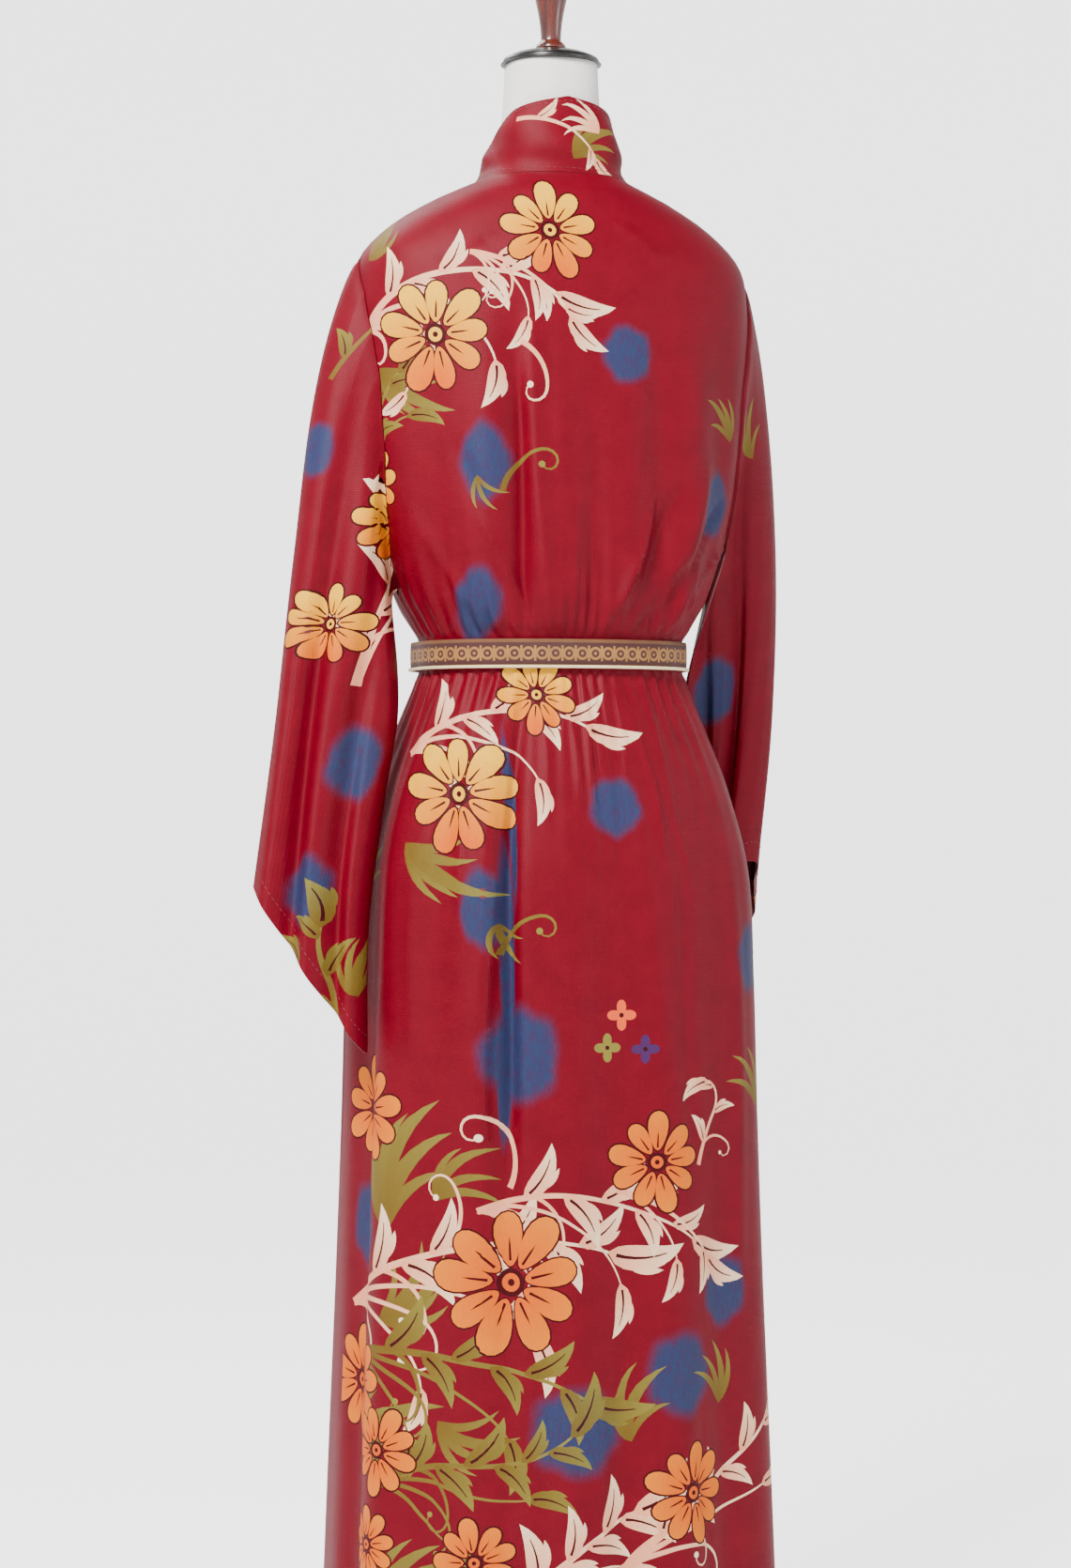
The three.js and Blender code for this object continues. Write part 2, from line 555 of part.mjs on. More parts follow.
add("back_panel", backPanel(), "satin");
add("front_left", leftFront(), "satin");
add("front_right", rightFront(), "satin");
add("sleeve_left", sleeveSolid(LEFT_SLEEVE, 1), "satin");
add("sleeve_right", sleeveSolid(RIGHT_SLEEVE, -1), "satin");
add("neckband", neckband(), "satin");
add("belt", beltRing(), "sash");
add("belt_knot", beltKnot(), "sash");
add("belt_tail_left", beltTail(1, 400), "sash");
add("belt_tail_right", beltTail(-1, 350), "sash");
add("form_torso", formTorso(), "linen");
add("form_neck_cap", turned(NECK_CAP_PROFILE, neckTop + SEAM_GAP, 32), "blackMetal");
add("form_finial", turned(FINIAL_PROFILE, neckTop + SEAM_GAP * 2 + capHeight, 20), "mahogany");
add("stand_pole", turned(poleProfile, poleFoot, 24), "mahogany");
add("stand_base", turned(BASE_PROFILE, 0, 40), "mahogany");

export default robe;
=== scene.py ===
"""Dresses a long kimono robe and the limbless dress form that it hangs on.

Every class builds one sub-assembly. Sizes in the tables and fields are in millimetres in the
frame of the solids: +Z up, +X the wearer's left, +Y the back. Angles are in degrees round the
Z axis, 0 at the left side seam, 90 at the centre back and -90 at the centre front.
"""
import logging
import math
from collections.abc import Callable, Sequence
from dataclasses import dataclass, field
from enum import Enum

import bmesh
import bpy
import numpy as np
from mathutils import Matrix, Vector
from mathutils.bvhtree import BVHTree
from mathutils.geometry import delaunay_2d_cdt


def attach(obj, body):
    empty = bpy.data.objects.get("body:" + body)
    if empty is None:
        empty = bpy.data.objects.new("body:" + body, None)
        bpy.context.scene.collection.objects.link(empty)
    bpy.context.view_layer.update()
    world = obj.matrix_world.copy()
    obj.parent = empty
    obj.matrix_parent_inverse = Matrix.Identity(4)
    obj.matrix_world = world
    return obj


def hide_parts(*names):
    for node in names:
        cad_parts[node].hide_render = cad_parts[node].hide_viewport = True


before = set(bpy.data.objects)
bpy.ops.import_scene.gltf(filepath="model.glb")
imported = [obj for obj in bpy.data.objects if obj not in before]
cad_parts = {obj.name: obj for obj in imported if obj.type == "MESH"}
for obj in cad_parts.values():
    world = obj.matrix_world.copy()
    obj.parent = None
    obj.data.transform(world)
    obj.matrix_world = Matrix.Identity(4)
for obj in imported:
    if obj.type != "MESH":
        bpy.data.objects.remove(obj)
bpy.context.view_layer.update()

logging.basicConfig(level=logging.INFO, format="%(message)s")
log = logging.getLogger("robe")

MM = 0.001
Array = np.ndarray
Colour = tuple[float, float, float]
Rows = Sequence[tuple]
Piece, Material = bpy.types.Object, bpy.types.Material
Node, NodeTree, Socket = bpy.types.Node, bpy.types.NodeTree, bpy.types.NodeSocket


def srgb(red: int, green: int, blue: int) -> Colour:
    """A linear colour from the 0 to 255 values of a screen colour.

    Args:
        red: the red value.
        green: the green value.
        blue: the blue value.

    Returns:
        The linear red, green and blue, from 0 to 1.
    """
    def linear(value: int) -> float:
        """One channel's linear value."""
        share = value / 255
        return share / 12.92 if share <= 0.04045 else ((share + 0.055) / 1.055) ** 2.4
    return linear(red), linear(green), linear(blue)


def smooth(low: float, high: float, value: Array) -> Array:
    """A soft step from 0 at low to 1 at high."""
    t = np.clip((np.asarray(value, float) - low) / (high - low), 0.0, 1.0)
    return t * t * (3 - 2 * t)


def mix(a: Array, b: Array, share: Array) -> Array:
    """The blend from a to b by share."""
    return a + (b - a) * share


def turn_between(a: Array, b: Array) -> Array:
    """The signed turn from angle b to angle a, in degrees within a half turn."""
    return (np.asarray(a, float) - b + 180) % 360 - 180


def unit(vectors: Array) -> Array:
    """The vectors at length 1."""
    return vectors / np.maximum(np.linalg.norm(vectors, axis=-1, keepdims=True), 1e-12)


def circle(count: int) -> Array:
    """Points once round a flat circle of radius 1."""
    turn = np.linspace(0, 2 * math.pi, count, endpoint=False)
    return np.stack([np.cos(turn), np.sin(turn)], -1)


def upright(radius: Array, angle: Array, z: Array) -> Array:
    """Points at distances and angles from the Z axis, with x, y and z on the last axis."""
    turn = np.radians(angle)
    return np.stack(np.broadcast_arrays(radius * np.cos(turn), radius * np.sin(turn), z), -1)


def linked(name: str, data: bpy.types.ID | None) -> Piece:
    """A new object in the scene."""
    piece = bpy.data.objects.new(name, data)
    bpy.context.scene.collection.objects.link(piece)
    return piece


@dataclass(frozen=True)
class Table:
    """Rows of sizes under named columns. The first column is the key and grows downwards."""
    columns: tuple[str, ...]
    rows: tuple[tuple[float, ...], ...]

    def column(self, name: str) -> Array:
        """One column as an array."""
        return np.array([row[self.columns.index(name)] for row in self.rows], float)

    def at(self, value: Array, name: str) -> Array:
        """A column on a smooth curve through its rows.

        Args:
            value: keys at which to read the column.
            name: the column's name.

        Returns:
            The column's value at each key.
        """
        keys, heights = self.column(self.columns[0]), self.column(name)
        slopes = np.empty_like(heights)
        slopes[1:-1] = (heights[2:] - heights[:-2]) / (keys[2:] - keys[:-2])
        slopes[0] = (heights[1] - heights[0]) / (keys[1] - keys[0])
        slopes[-1] = (heights[-1] - heights[-2]) / (keys[-1] - keys[-2])
        i = np.clip(np.searchsorted(keys, value, side="right") - 1, 0, len(keys) - 2)
        span = keys[i + 1] - keys[i]
        t = np.clip((value - keys[i]) / span, 0.0, 1.0)
        low, high, start, end = heights[i], heights[i + 1], slopes[i] * span, slopes[i + 1] * span
        rise = high - low
        return low + t * (start + t * (3 * rise - 2 * start - end + t * (start + end - 2 * rise)))

    def straight(self, value: Array, name: str) -> Array:
        """A column on straight lines between its rows."""
        return np.interp(value, self.column(self.columns[0]), self.column(name))


# ---- The robe's form ----

BELT_Z = 1040.0
BELT_WIDTH = 28.0
HEM_Z = 50.0
NECKLINE_Z = 1484.0
UNDERARM_Z = 1095.0
SHOULDER_Z = 1408.0
SEAM_GAP = 0.35
ARMHOLE_HALF = 44.0
OVERLAP_LIFT = 4.6
BAND_PROUD = 0.3
CLOTH = 0.9
PLEAT_SHARES = (0.286, 0.331, 22)
# How far apart a body panel's rows lie, up to each distance from the belt.
ROW_STEPS = ((28, 3.5), (80, 5.0), (math.inf, 8.5))

ROBE_RINGS = Table(("z", "side", "back", "front"), (
    (50, 214, 164, 155), (190, 209, 160, 151), (330, 204, 156, 147), (470, 199, 152, 143),
    (610, 195, 149, 139), (740, 192, 146, 135), (840, 187, 141, 129), (915, 168, 127, 119),
    (965, 148, 113, 110), (998, 134, 102, 103), (1016, 127, 96, 99), (1026, 124, 94, 97),
    (1054, 124, 94, 97), (1068, 131, 102, 101), (1095, 147, 110, 106), (1150, 165, 112, 114),
    (1220, 179, 110, 122), (1290, 186, 107, 124), (1332, 190, 104, 117), (1370, 190, 100, 104),
    (1408, 183, 93, 88), (1440, 152, 83, 74), (1466, 108, 73, 62), (1484, 70, 62, 56),
    (1510, 60, 58, 52), (1535, 56, 55, 50), (1562, 53, 53, 49)))
ARMHOLE = Table(("z", "open"), (
    (1095, 0), (1150, 0.56), (1220, 0.95), (1290, 0.99), (1332, 0.86), (1370, 0.58), (1408, 0)))
FRONT_REACH = Table(("z", "angle"), (
    (50, 120), (1016, 120), (1054, 119), (1068, 117), (1095, 113), (1150, 104), (1220, 91),
    (1290, 76), (1332, 66), (1370, 57), (1408, 46), (1440, 36), (1466, 26), (1484, 19)))
BAND_NECK = Table(("seam_angle", "free_angle", "free_z"), (
    (-19, -32, 1500), (0, -7, 1513), (20, 16, 1530), (40, 38, 1545), (90, 90, 1556)))
BAND_FALL = Table(("seam_z", "free_angle", "free_z"), (
    (50, -143, 50), (840, -146, 840), (915, -149, 915), (965, -151, 965), (998, -153, 998),
    (1026, -154, 1026), (1054, -153, 1058), (1068, -149, 1078), (1095, -143, 1112),
    (1150, -133, 1172), (1220, -120, 1242), (1290, -106, 1312), (1332, -97, 1354),
    (1370, -91, 1394), (1408, -81, 1432), (1440, -66, 1464), (1466, -48, 1488),
    (1484, -32, 1500)))
SKIRT_FOLDS = Table(("angle", "width", "belt", "hip", "hem"), (
    (9, 6, -2, -8, -11), (24, 8, 2, 4, 8), (48, 8, 3, 8, 4), (58, 4.5, -3, -8, -3),
    (80, 9, 1, 2, 7), (99, 7, 0, -2, -6), (117, 9, 1, 3, 7), (135, 7, -1, -2, -7),
    (152, 8, 1, 3, 8), (170, 6, -2, -4, -9), (188, 7, 1, 4, 7), (205, 8, -1, -3, -6),
    (232, 14, 0, 3, 5), (262, 14, 0, -2, -4), (292, 14, 0, 3, 5), (318, 12, 0, -3, -5),
    (342, 8, 1, 4, 7)))
BODICE_FOLDS = Table(("angle", "width", "belt", "chest"), (
    (28, 7, -4, -5), (47, 7, 4, 5), (60, 6, -5, -4), (78, 7, 4, 2), (94, 6, -3, -1), (112, 7, 4.5, 2),
    (126, 6, -5, -3), (140, 6, 6, 4), (154, 6, -5, -4), (205, 8, 3, 1), (335, 8, 3, 1)))
# Soft creases that run along a line on the robe. A positive depth is a ridge. Steep is how much
# narrower the crease is on the side of the greater angle, where cloth is lapped over.
CREASES = Table(("angle", "z", "to_angle", "to_z", "width", "depth", "steep"), (
    (54, 1020, 54.5, 560, 24, 8.5, 8), (57, 1024, 58, 560, 8, -8, 1), (50, 1020, 48, 700, 7, -2.4, 1),
    (64, 1370, 69, 1062, 10, 5.5, 1), (55, 1330, 61, 1066, 8, -5, 1), (36, 1240, 56, 1064, 9, -3.4, 1),
    (44, 1180, 62, 1058, 6, 2.2, 2), (136, 1210, 112, 1060, 8, -4.4, 1),
    (124, 1190, 104, 1062, 7, 3.6, 2), (150, 1230, 122, 1062, 9, 4.2, 1),
    (160, 1200, 130, 1064, 8, -5, 1), (172, 1160, 138, 1062, 7, 3, 1), (84, 1200, 88, 1062, 8, 1.6, 1),
    (96, 1260, 95, 1064, 9, -1.6, 1), (140, 1130, 118, 1056, 5, -2, 1), (20, 1180, 40, 1064, 8, 2.2, 1),
    (70, 1440, 48, 1400, 10, 1.6, 1), (112, 1440, 134, 1404, 10, 1.6, 1),
    (50, 1424, 30, 1392, 8, -1.6, 1), (82, 1024, 84, 900, 5, 1.8, 2), (91, 1024, 92, 880, 5, 2.0, 2),
    (98, 1024, 100, 860, 5, 1.8, 2), (105, 1024, 107, 900, 4.5, 1.6, 2),
    (113, 1024, 116, 850, 6, 2.2, 2), (122, 1024, 126, 830, 6, 2.0, 2), (46, 1024, 44, 800, 6, 2.2, 2),
    (37, 1024, 33, 780, 7, 2.4, 1), (69, 1024, 71, 880, 6, 1.6, 2), (64, 900, 66, 420, 14, 2.2, 1),
    (90, 860, 92, 520, 14, -1.8, 1), (108, 980, 112, 640, 9, 1.8, 1), (122, 930, 124, 560, 9, -2.2, 1),
    (33, 960, 30, 600, 8, 2.4, 1), (16, 900, 12, 420, 8, -3, 1), (143, 900, 144, 420, 9, 2.6, 1),
    (162, 940, 165, 480, 8, -3, 1), (72, 520, 74, 90, 12, -2.4, 1), (106, 460, 108, 80, 11, 2.4, 1),
    (40, 420, 38, 80, 9, -2.6, 1), (126, 380, 127, 70, 9, -2.6, 1), (56, 520, 54, 80, 10, 2.4, 1),
    (90, 400, 91, 70, 9, 2, 1), (-30, 940, -32, 380, 9, 2, 1), (-14, 930, -10, 520, 8, -2.6, 1),
    (-150, 940, -148, 520, 9, -1.6, 1), (-166, 930, -170, 460, 8, 2.4, 1),
    (-95, 900, -97, 320, 14, -1.4, 1), (-70, 960, -74, 420, 12, 1.4, 1),
    (-52, 1240, -70, 1070, 9, 2, 1), (-40, 1200, -58, 1066, 8, -2, 1), (-28, 1180, -40, 1066, 8, 2, 1),
    (-152, 1200, -136, 1068, 9, 1.6, 1), (-164, 1170, -150, 1068, 8, -2, 1)))


@dataclass(frozen=True)
class Gathers:
    """The small gathers that the belt draws up above and below itself."""
    count: int = 52
    depth: float = 3.4
    fade_down: float = 58.0
    fade_up: float = 34.0
    front_share: float = 0.2

    def at(self, angle: Array, away: Array, below: Array) -> Array:
        """How far the gathers stand out.

        Args:
            angle: places round the robe.
            away: distance from the belt's edge.
            below: true where the place is below the belt.

        Returns:
            The height of the gathers there.
        """
        turn = np.radians(angle)
        share = mix(1.0, self.front_share, 1 - smooth(-0.45, 0.15, np.sin(turn)))
        uneven = 0.62 + 0.38 * np.sin(5 * turn + 1.1) * np.cos(3 * turn)
        wave = np.cos(self.count * turn + 1.3 * np.sin(4 * turn) + 0.9 * np.sin(7 * turn + 2))
        reach = np.where(below, self.fade_down, self.fade_up) * (0.75 + 0.5 * uneven)
        return self.depth * share * uneven * smooth(0, 9, away) * np.exp(-away / reach) * wave


@dataclass(frozen=True)
class RobeSurface:
    """The outer surface of the robe's body and collar, with its folds."""
    squareness: float = 2.25
    gathers: Gathers = Gathers()

    def ring_radius(self, angle: Array, z: Array, rings: Table = ROBE_RINGS) -> Array:
        """The distance from the axis to a ring, without folds.

        Args:
            angle: places round the ring.
            z: heights.
            rings: the table of rings.

        Returns:
            The radius at each place.
        """
        turn = np.radians(angle)
        depth = np.where(np.sin(turn) > 0, rings.at(z, "back"), rings.at(z, "front"))
        across = np.abs(np.cos(turn) / rings.at(z, "side")) ** self.squareness
        return (across + np.abs(np.sin(turn) / depth) ** self.squareness) ** (-1 / self.squareness)

    def folds(self, angle: Array, z: Array) -> Array:
        """How far folds, gathers and creases stand off the ring.

        Args:
            angle: places round the robe.
            z: heights.

        Returns:
            The height of the folds, negative in a trough.
        """
        angle, z = np.broadcast_arrays(np.asarray(angle, float), np.asarray(z, float))
        away = np.maximum(np.abs(z - BELT_Z) - BELT_WIDTH / 2, 0.0)
        below = z < BELT_Z
        skirt, bodice = np.zeros_like(z), np.zeros_like(z)
        to_hip, to_hem = smooth(0, 200, away), smooth(250, 900, away)
        for place, width, belt, hip, hem in SKIRT_FOLDS.rows:
            depth = mix(mix(belt, hip, to_hip), hem, to_hem)
            skirt += depth * np.exp(-((turn_between(angle, place) / width) ** 2))
        to_chest = smooth(30, 160, away)
        for place, width, belt, chest in BODICE_FOLDS.rows:
            bodice += mix(belt, chest, to_chest) * np.exp(-((turn_between(angle, place) / width) ** 2))
        bodice *= smooth(0, 30, away) * (1 - smooth(200, 330, away))
        big = np.where(below, smooth(0, 40, away) * skirt, bodice)
        high = 1 - smooth(300, 360, np.where(below, 0, away))
        return big + high * self.gathers.at(angle, away, below) + self.creases(angle, z, away)

    def creases(self, angle: Array, z: Array, away: Array) -> Array:
        """The soft creases that run along lines.

        Args:
            angle: places round the robe.
            z: heights.
            away: distance from the belt's edge.

        Returns:
            The height of the creases.
        """
        total = np.zeros_like(z)
        radius = self.ring_radius(angle, z)
        for start, top, end, foot, width, depth, steep in CREASES.rows:
            share = (z - foot) / (top - foot)
            line = mix(end, start, np.clip(share, 0, 1)) + 1.5 * np.sin(share * 5 + start)
            aside = np.radians(turn_between(angle, line)) * radius
            ends = smooth(-0.04, 0.22, share) * smooth(-0.04, 0.3, 1 - share)
            reach = np.where(aside > 0, width / steep, width)
            total += depth * ends * np.exp(-((aside / reach) ** 2))
        return total * smooth(0, 12, away)

    def point(self, angle: Array, z: Array, lift: Array | float = 0.0) -> Array:
        """Points on the outer surface, or lifted off it."""
        return upright(self.ring_radius(angle, z) + self.folds(angle, z) + lift, angle, z)

    def normal(self, angle: Array, z: Array) -> Array:
        """The surface's outward normals.

        Args:
            angle: places round the robe.
            z: heights.

        Returns:
            Unit vectors.
        """
        turn, rise = 0.3, 0.8
        across = self.point(angle + turn, z) - self.point(angle - turn, z)
        up = self.point(angle, z + rise) - self.point(angle, z - rise)
        return unit(np.cross(across, up))


def overlap_lift(angle: Array) -> Array:
    """How far the left front stands off, so that it clears the right front under it."""
    return OVERLAP_LIFT * smooth(15, 27, -turn_between(angle, 0))


def no_lift(angle: Array) -> Array:
    """The lift of a piece that lies straight on the robe's surface."""
    return np.zeros_like(np.asarray(angle, float))


SURFACE = RobeSurface()


# ---- Prints: outlines in flat cloth, each with its ink ----

class Ink(Enum):
    """The printed colours, as linear red, green and blue."""
    MAROON = srgb(52, 0, 8)
    ORANGE = srgb(218, 88, 0)
    YELLOW = srgb(244, 182, 34)
    CREAM = srgb(252, 226, 188)
    PINK = srgb(240, 158, 122)
    OLIVE = srgb(128, 122, 52)
    MOSS = srgb(104, 84, 26)
    SALMON = srgb(236, 92, 44)
    SLATE = srgb(62, 36, 84)


@dataclass
class Shape:
    """One printed area of flat cloth, or a cut without ink.

    Its colour changes from the ink at the root to the tip's ink at the reach, if it has both.
    """
    outline: Array
    ink: Ink | None = Ink.MAROON
    tip_ink: Ink | None = None
    root: Array | tuple[float, float] = (0.0, 0.0)
    reach: float = 1.0

    def colour(self, places: Array) -> Array:
        """The ink's colour at places in it."""
        share = np.clip(np.linalg.norm(places - self.root, axis=-1) / self.reach, 0, 1)[..., None]
        return mix(np.array(self.ink.value), np.array((self.tip_ink or self.ink).value), share ** 1.4)


def within(outline: Array, places: Array) -> Array:
    """Which places lie inside an outline.

    Args:
        outline: the outline's points, in order.
        places: the places.

    Returns:
        True for each place inside.
    """
    inside = np.zeros(len(places), bool)
    near = np.nonzero(np.all((places >= outline.min(0)) & (places <= outline.max(0)), axis=1))[0]
    x, y = places[near, 0], places[near, 1]
    found = np.zeros(len(near), bool)
    for (ax, ay), (bx, by) in zip(outline, np.roll(outline, -1, axis=0)):
        if ay != by:
            found ^= ((ay > y) != (by > y)) & (x < (bx - ax) * (y - ay) / (by - ay) + ax)
    inside[near] = found
    return inside


def turned(points: Array, degrees: float, origin: Sequence[float]) -> Array:
    """Flat points turned about their own zero and moved to an origin.

    Args:
        points: points of flat cloth.
        degrees: the turn, anticlockwise.
        origin: where their zero goes.

    Returns:
        The moved points.
    """
    turn = math.radians(degrees)
    spin = np.array([[math.cos(turn), math.sin(turn)], [-math.sin(turn), math.cos(turn)]])
    return points @ spin + np.asarray(origin, float)


PETAL_VEIN = np.array([[0.30, -0.020], [0.52, -0.014], [0.64, 0.0], [0.52, 0.014], [0.30, 0.020]])


@dataclass(frozen=True)
class Flower:
    """An open flower of round petals about a ringed eye, with yellow upper petals where it is pale.

    A petal's size, lift from the middle and roundness are shares of the flower's radius.
    """
    x: float
    y: float
    radius: float
    turn: float = 0.0
    pale: bool = False
    petals: int = 9
    petal_share: float = 0.39
    petal_width: float = 0.585
    egg: float = 0.34
    edge: float = 1.3
    overlap: float = -0.3

    def petal(self, grow: float) -> Array:
        """A petal's outline, with its root at zero and its tip to the right.

        Args:
            grow: how far its edge is moved out.

        Returns:
            The outline's points.
        """
        along, across = circle(18).T
        half = self.petal_share * self.radius
        width = self.radius * math.sin(math.pi / self.petals) * self.petal_width + grow
        across = width * across * (1 + self.egg * along)
        return np.stack([self.radius - half + (half + grow) * along, across], -1)

    def shapes(self) -> list[Shape]:
        """The flower's printed areas, lowest first."""
        middle = np.array([self.x, self.y])
        low, reach = (middle, 2.6 * self.radius)
        if self.pale:
            low, reach = (middle - (0, self.radius), 1.75 * self.radius)
        edges, made = [], []
        for k in range(self.petals):
            size = 1 + 0.07 * math.sin(2.4 * k + self.x)
            angle = self.turn + k * 360 / self.petals + 1.6 * math.sin(3.1 * k + self.y)
            edges.append(Shape(turned(self.petal(self.edge) * size, angle, middle)))
            petal = turned(self.petal(self.overlap) * size, angle, middle)
            vein = turned(PETAL_VEIN * self.radius, angle, middle)
            made += [Shape(petal, Ink.ORANGE, Ink.YELLOW, low, reach), Shape(vein)]
        eye = Ink.YELLOW if self.pale else Ink.ORANGE
        rings = ((0.20, Ink.MAROON), (0.13, eye), (0.05, Ink.MAROON))
        return edges + made + [Shape(circle(14) * share * self.radius + middle, ink) for share, ink in rings]


@dataclass(frozen=True)
class Leaf:
    """A long curved leaf, with smaller lobes down its outer side and a dark vein.

    It leaves its root at x and y and points at the turn, in degrees from straight to the right. Its
    midrib turns by the bend along its length, and plump is its half width as a share of its length.
    """
    x: float
    y: float
    length: float
    turn: float
    ink: Ink = Ink.CREAM
    tip_ink: Ink = Ink.PINK
    lobes: int = 4
    bend: float = 56.0
    plump: float = 0.155
    veined: bool = True

    def lobe(self, root: Array, length: float, turn: float, veined: bool) -> list[Shape]:
        """One lobe and its vein.

        Args:
            root: where it starts.
            length: from root to tip.
            turn: the way it starts.
            veined: true for a dark vein along it.

        Returns:
            The lobe's area, then its vein's.
        """
        line, heading = self.midrib(length, 9)
        share = np.linspace(0, 1, 9)
        normal = np.stack([-np.sin(heading), np.cos(heading)], -1)
        half = (self.plump * length * np.sin(math.pi * share ** 0.75) ** 0.85)[:, None]
        outline = np.concatenate([line + normal * half, (line - normal * half)[-2:0:-1]])
        made = [Shape(turned(outline, turn, root), self.ink, self.tip_ink, (self.x, self.y), self.length)]
        if veined:
            thin = normal[1:7] * (0.026 * length * (1 - share[1:7]))[:, None]
            vein = np.concatenate([line[1:7] + thin, (line[1:7] - thin)[::-1]])
            made.append(Shape(turned(vein, turn, root)))
        return made

    def midrib(self, length: float, count: int) -> tuple[Array, Array]:
        """A lobe's middle line from zero, which starts to the right and bends evenly.

        Args:
            length: from root to tip.
            count: how many points it has.

        Returns:
            Its points, and its heading at each of them in radians.
        """
        heading = np.radians(self.bend) * np.linspace(0, 1, count)
        steps = np.stack([np.cos(heading), np.sin(heading)], -1) * length / (count - 1)
        return np.concatenate([[[0, 0]], np.cumsum(steps[:-1], axis=0)]), heading

    def shapes(self) -> list[Shape]:
        """The leaf's printed areas, lowest first."""
        root = np.array([self.x, self.y])
        line, heading = self.midrib(self.length, 17)
        made, outer = [], -math.copysign(1.0, self.bend)
        for k in range(1, self.lobes):
            at = round(16 * (0.06 + 0.17 * k))
            place = turned(line[at:at + 1], self.turn, root)[0]
            turn = self.turn + math.degrees(heading[at]) + outer * (44 - 5 * k)
            made += self.lobe(place, self.length * (0.60 - 0.10 * k), turn, False)
        made += self.lobe(root, self.length, self.turn, self.veined)
        return made


@dataclass(frozen=True)
class Stem:
    """A tapering stem, with a ball at its end if it has one.

    It leaves its root at x and y at the turn, turns by the bend in its first half and by the curl in
    its second half, all in degrees, and its width is the one at its root.
    """
    x: float
    y: float
    turn: float
    length: float
    bend: float
    curl: float
    width: float = 5.0
    ink: Ink = Ink.CREAM
    tip_ink: Ink = Ink.PINK
    ball: bool = False

    def line(self) -> tuple[Array, Array]:
        """The stem's middle line.

        Returns:
            Its points, and its heading at each of them in degrees.
        """
        count = max(10, int(self.length / 5))
        share = np.linspace(0, 1, count + 1)
        late = self.bend + self.curl * np.maximum(share * 2 - 1, 0) ** 1.5
        heading = self.turn + np.where(share < 0.5, self.bend * share * 2, late)
        way = np.radians(heading)
        steps = np.stack([np.cos(way), np.sin(way)], -1) * self.length / count
        return np.concatenate([[[0, 0]], np.cumsum(steps[:-1], axis=0)]) + (self.x, self.y), heading

    def at(self, share: float) -> tuple[float, float, float]:
        """The place and heading at a share of the stem's length.

        Args:
            share: from 0 at the root to 1 at the tip.

        Returns:
            The place across and up the cloth, and the heading in degrees.
        """
        points, heading = self.line()
        i = round(share * (len(points) - 1))
        return float(points[i, 0]), float(points[i, 1]), float(heading[i])

    def shapes(self) -> list[Shape]:
        """The stem's printed areas, lowest first."""
        points, heading = self.line()
        share = np.linspace(0, 1, len(points))
        half = (self.width / 2 * (1 - 0.72 * share))[:, None]
        side = np.stack([-np.sin(np.radians(heading)), np.cos(np.radians(heading))], -1)
        outline = np.concatenate([points + side * half, (points - side * half)[::-1]])
        made = [Shape(outline, self.ink, self.tip_ink, points[0], self.length)]
        if self.ball:
            made.append(Shape(circle(12) * self.width * 0.62 + points[-1], self.tip_ink))
        return made


@dataclass(frozen=True)
class Spray:
    """Stems that leave one root together, with leaves and curls along the first.

    The sizes up to the width are the first stem's. Leaves, curls and strands are counts, and leaf is
    the length of one leaf.
    """
    x: float
    y: float
    turn: float
    length: float
    bend: float
    curl: float
    width: float
    leaves: int
    leaf: float
    curls: int
    strands: int = 2
    ink: Ink = Ink.CREAM

    @property
    def stem(self) -> Stem:
        """The first stem."""
        root = Ink.PINK if self.ink is Ink.CREAM else Ink.MOSS
        return Stem(self.x, self.y, self.turn, self.length, self.bend, self.curl, self.width, root, self.ink)

    def strand(self, k: int) -> list[Shape]:
        """One of the further stems and the leaf at its end.

        Args:
            k: its number, from 1.

        Returns:
            Its printed areas.
        """
        stem = self.stem
        side = math.copysign(1.0, stem.bend)
        other = Stem(stem.x, stem.y, stem.turn + side * 7 * k, stem.length * (0.92 - 0.15 * k),
                     stem.bend * (1 + 0.35 * k), stem.curl + side * (20 if k % 2 else 190), stem.width * 0.7,
                     stem.ink, stem.tip_ink, k % 2 == 0)
        if k % 2 == 0:
            return other.shapes()
        x, y, heading = other.at(0.96)
        tip = Leaf(x, y, self.leaf * (1.2 - 0.1 * k), heading, stem.ink, stem.tip_ink, 4, side * 60)
        return other.shapes() + tip.shapes()

    def shapes(self) -> list[Shape]:
        """The spray's printed areas, lowest first."""
        stem, made = self.stem, []
        for k in range(1, self.strands):
            made += self.strand(k)
        for k in range(self.curls):
            x, y, heading = stem.at(0.25 + 0.45 * k / max(self.curls, 1))
            side = 1 if k % 2 else -1
            made += Stem(x, y, heading + side * 30, self.leaf * 2.1, side * 70, side * 250,
                         stem.width * 0.6, stem.ink, stem.tip_ink, True).shapes()
        made += stem.shapes()
        for k in range(self.leaves):
            share = 0.2 + 0.66 * k / max(self.leaves - 1, 1)
            x, y, heading = stem.at(share)
            side = -1 if k % 2 else 1
            size = self.leaf * (1 - 0.2 * share) * (1 + 0.1 * math.sin(5 * k + stem.x))
            made += Leaf(x, y, size * 1.25, heading + side * (30 - 8 * share), stem.ink, stem.tip_ink,
                         4 if k % 2 == 0 else 3, side * 58).shapes()
        x, y, heading = stem.at(0.97)
        return made + Leaf(x, y, self.leaf * 1.4, heading, stem.ink, stem.tip_ink, 4).shapes()


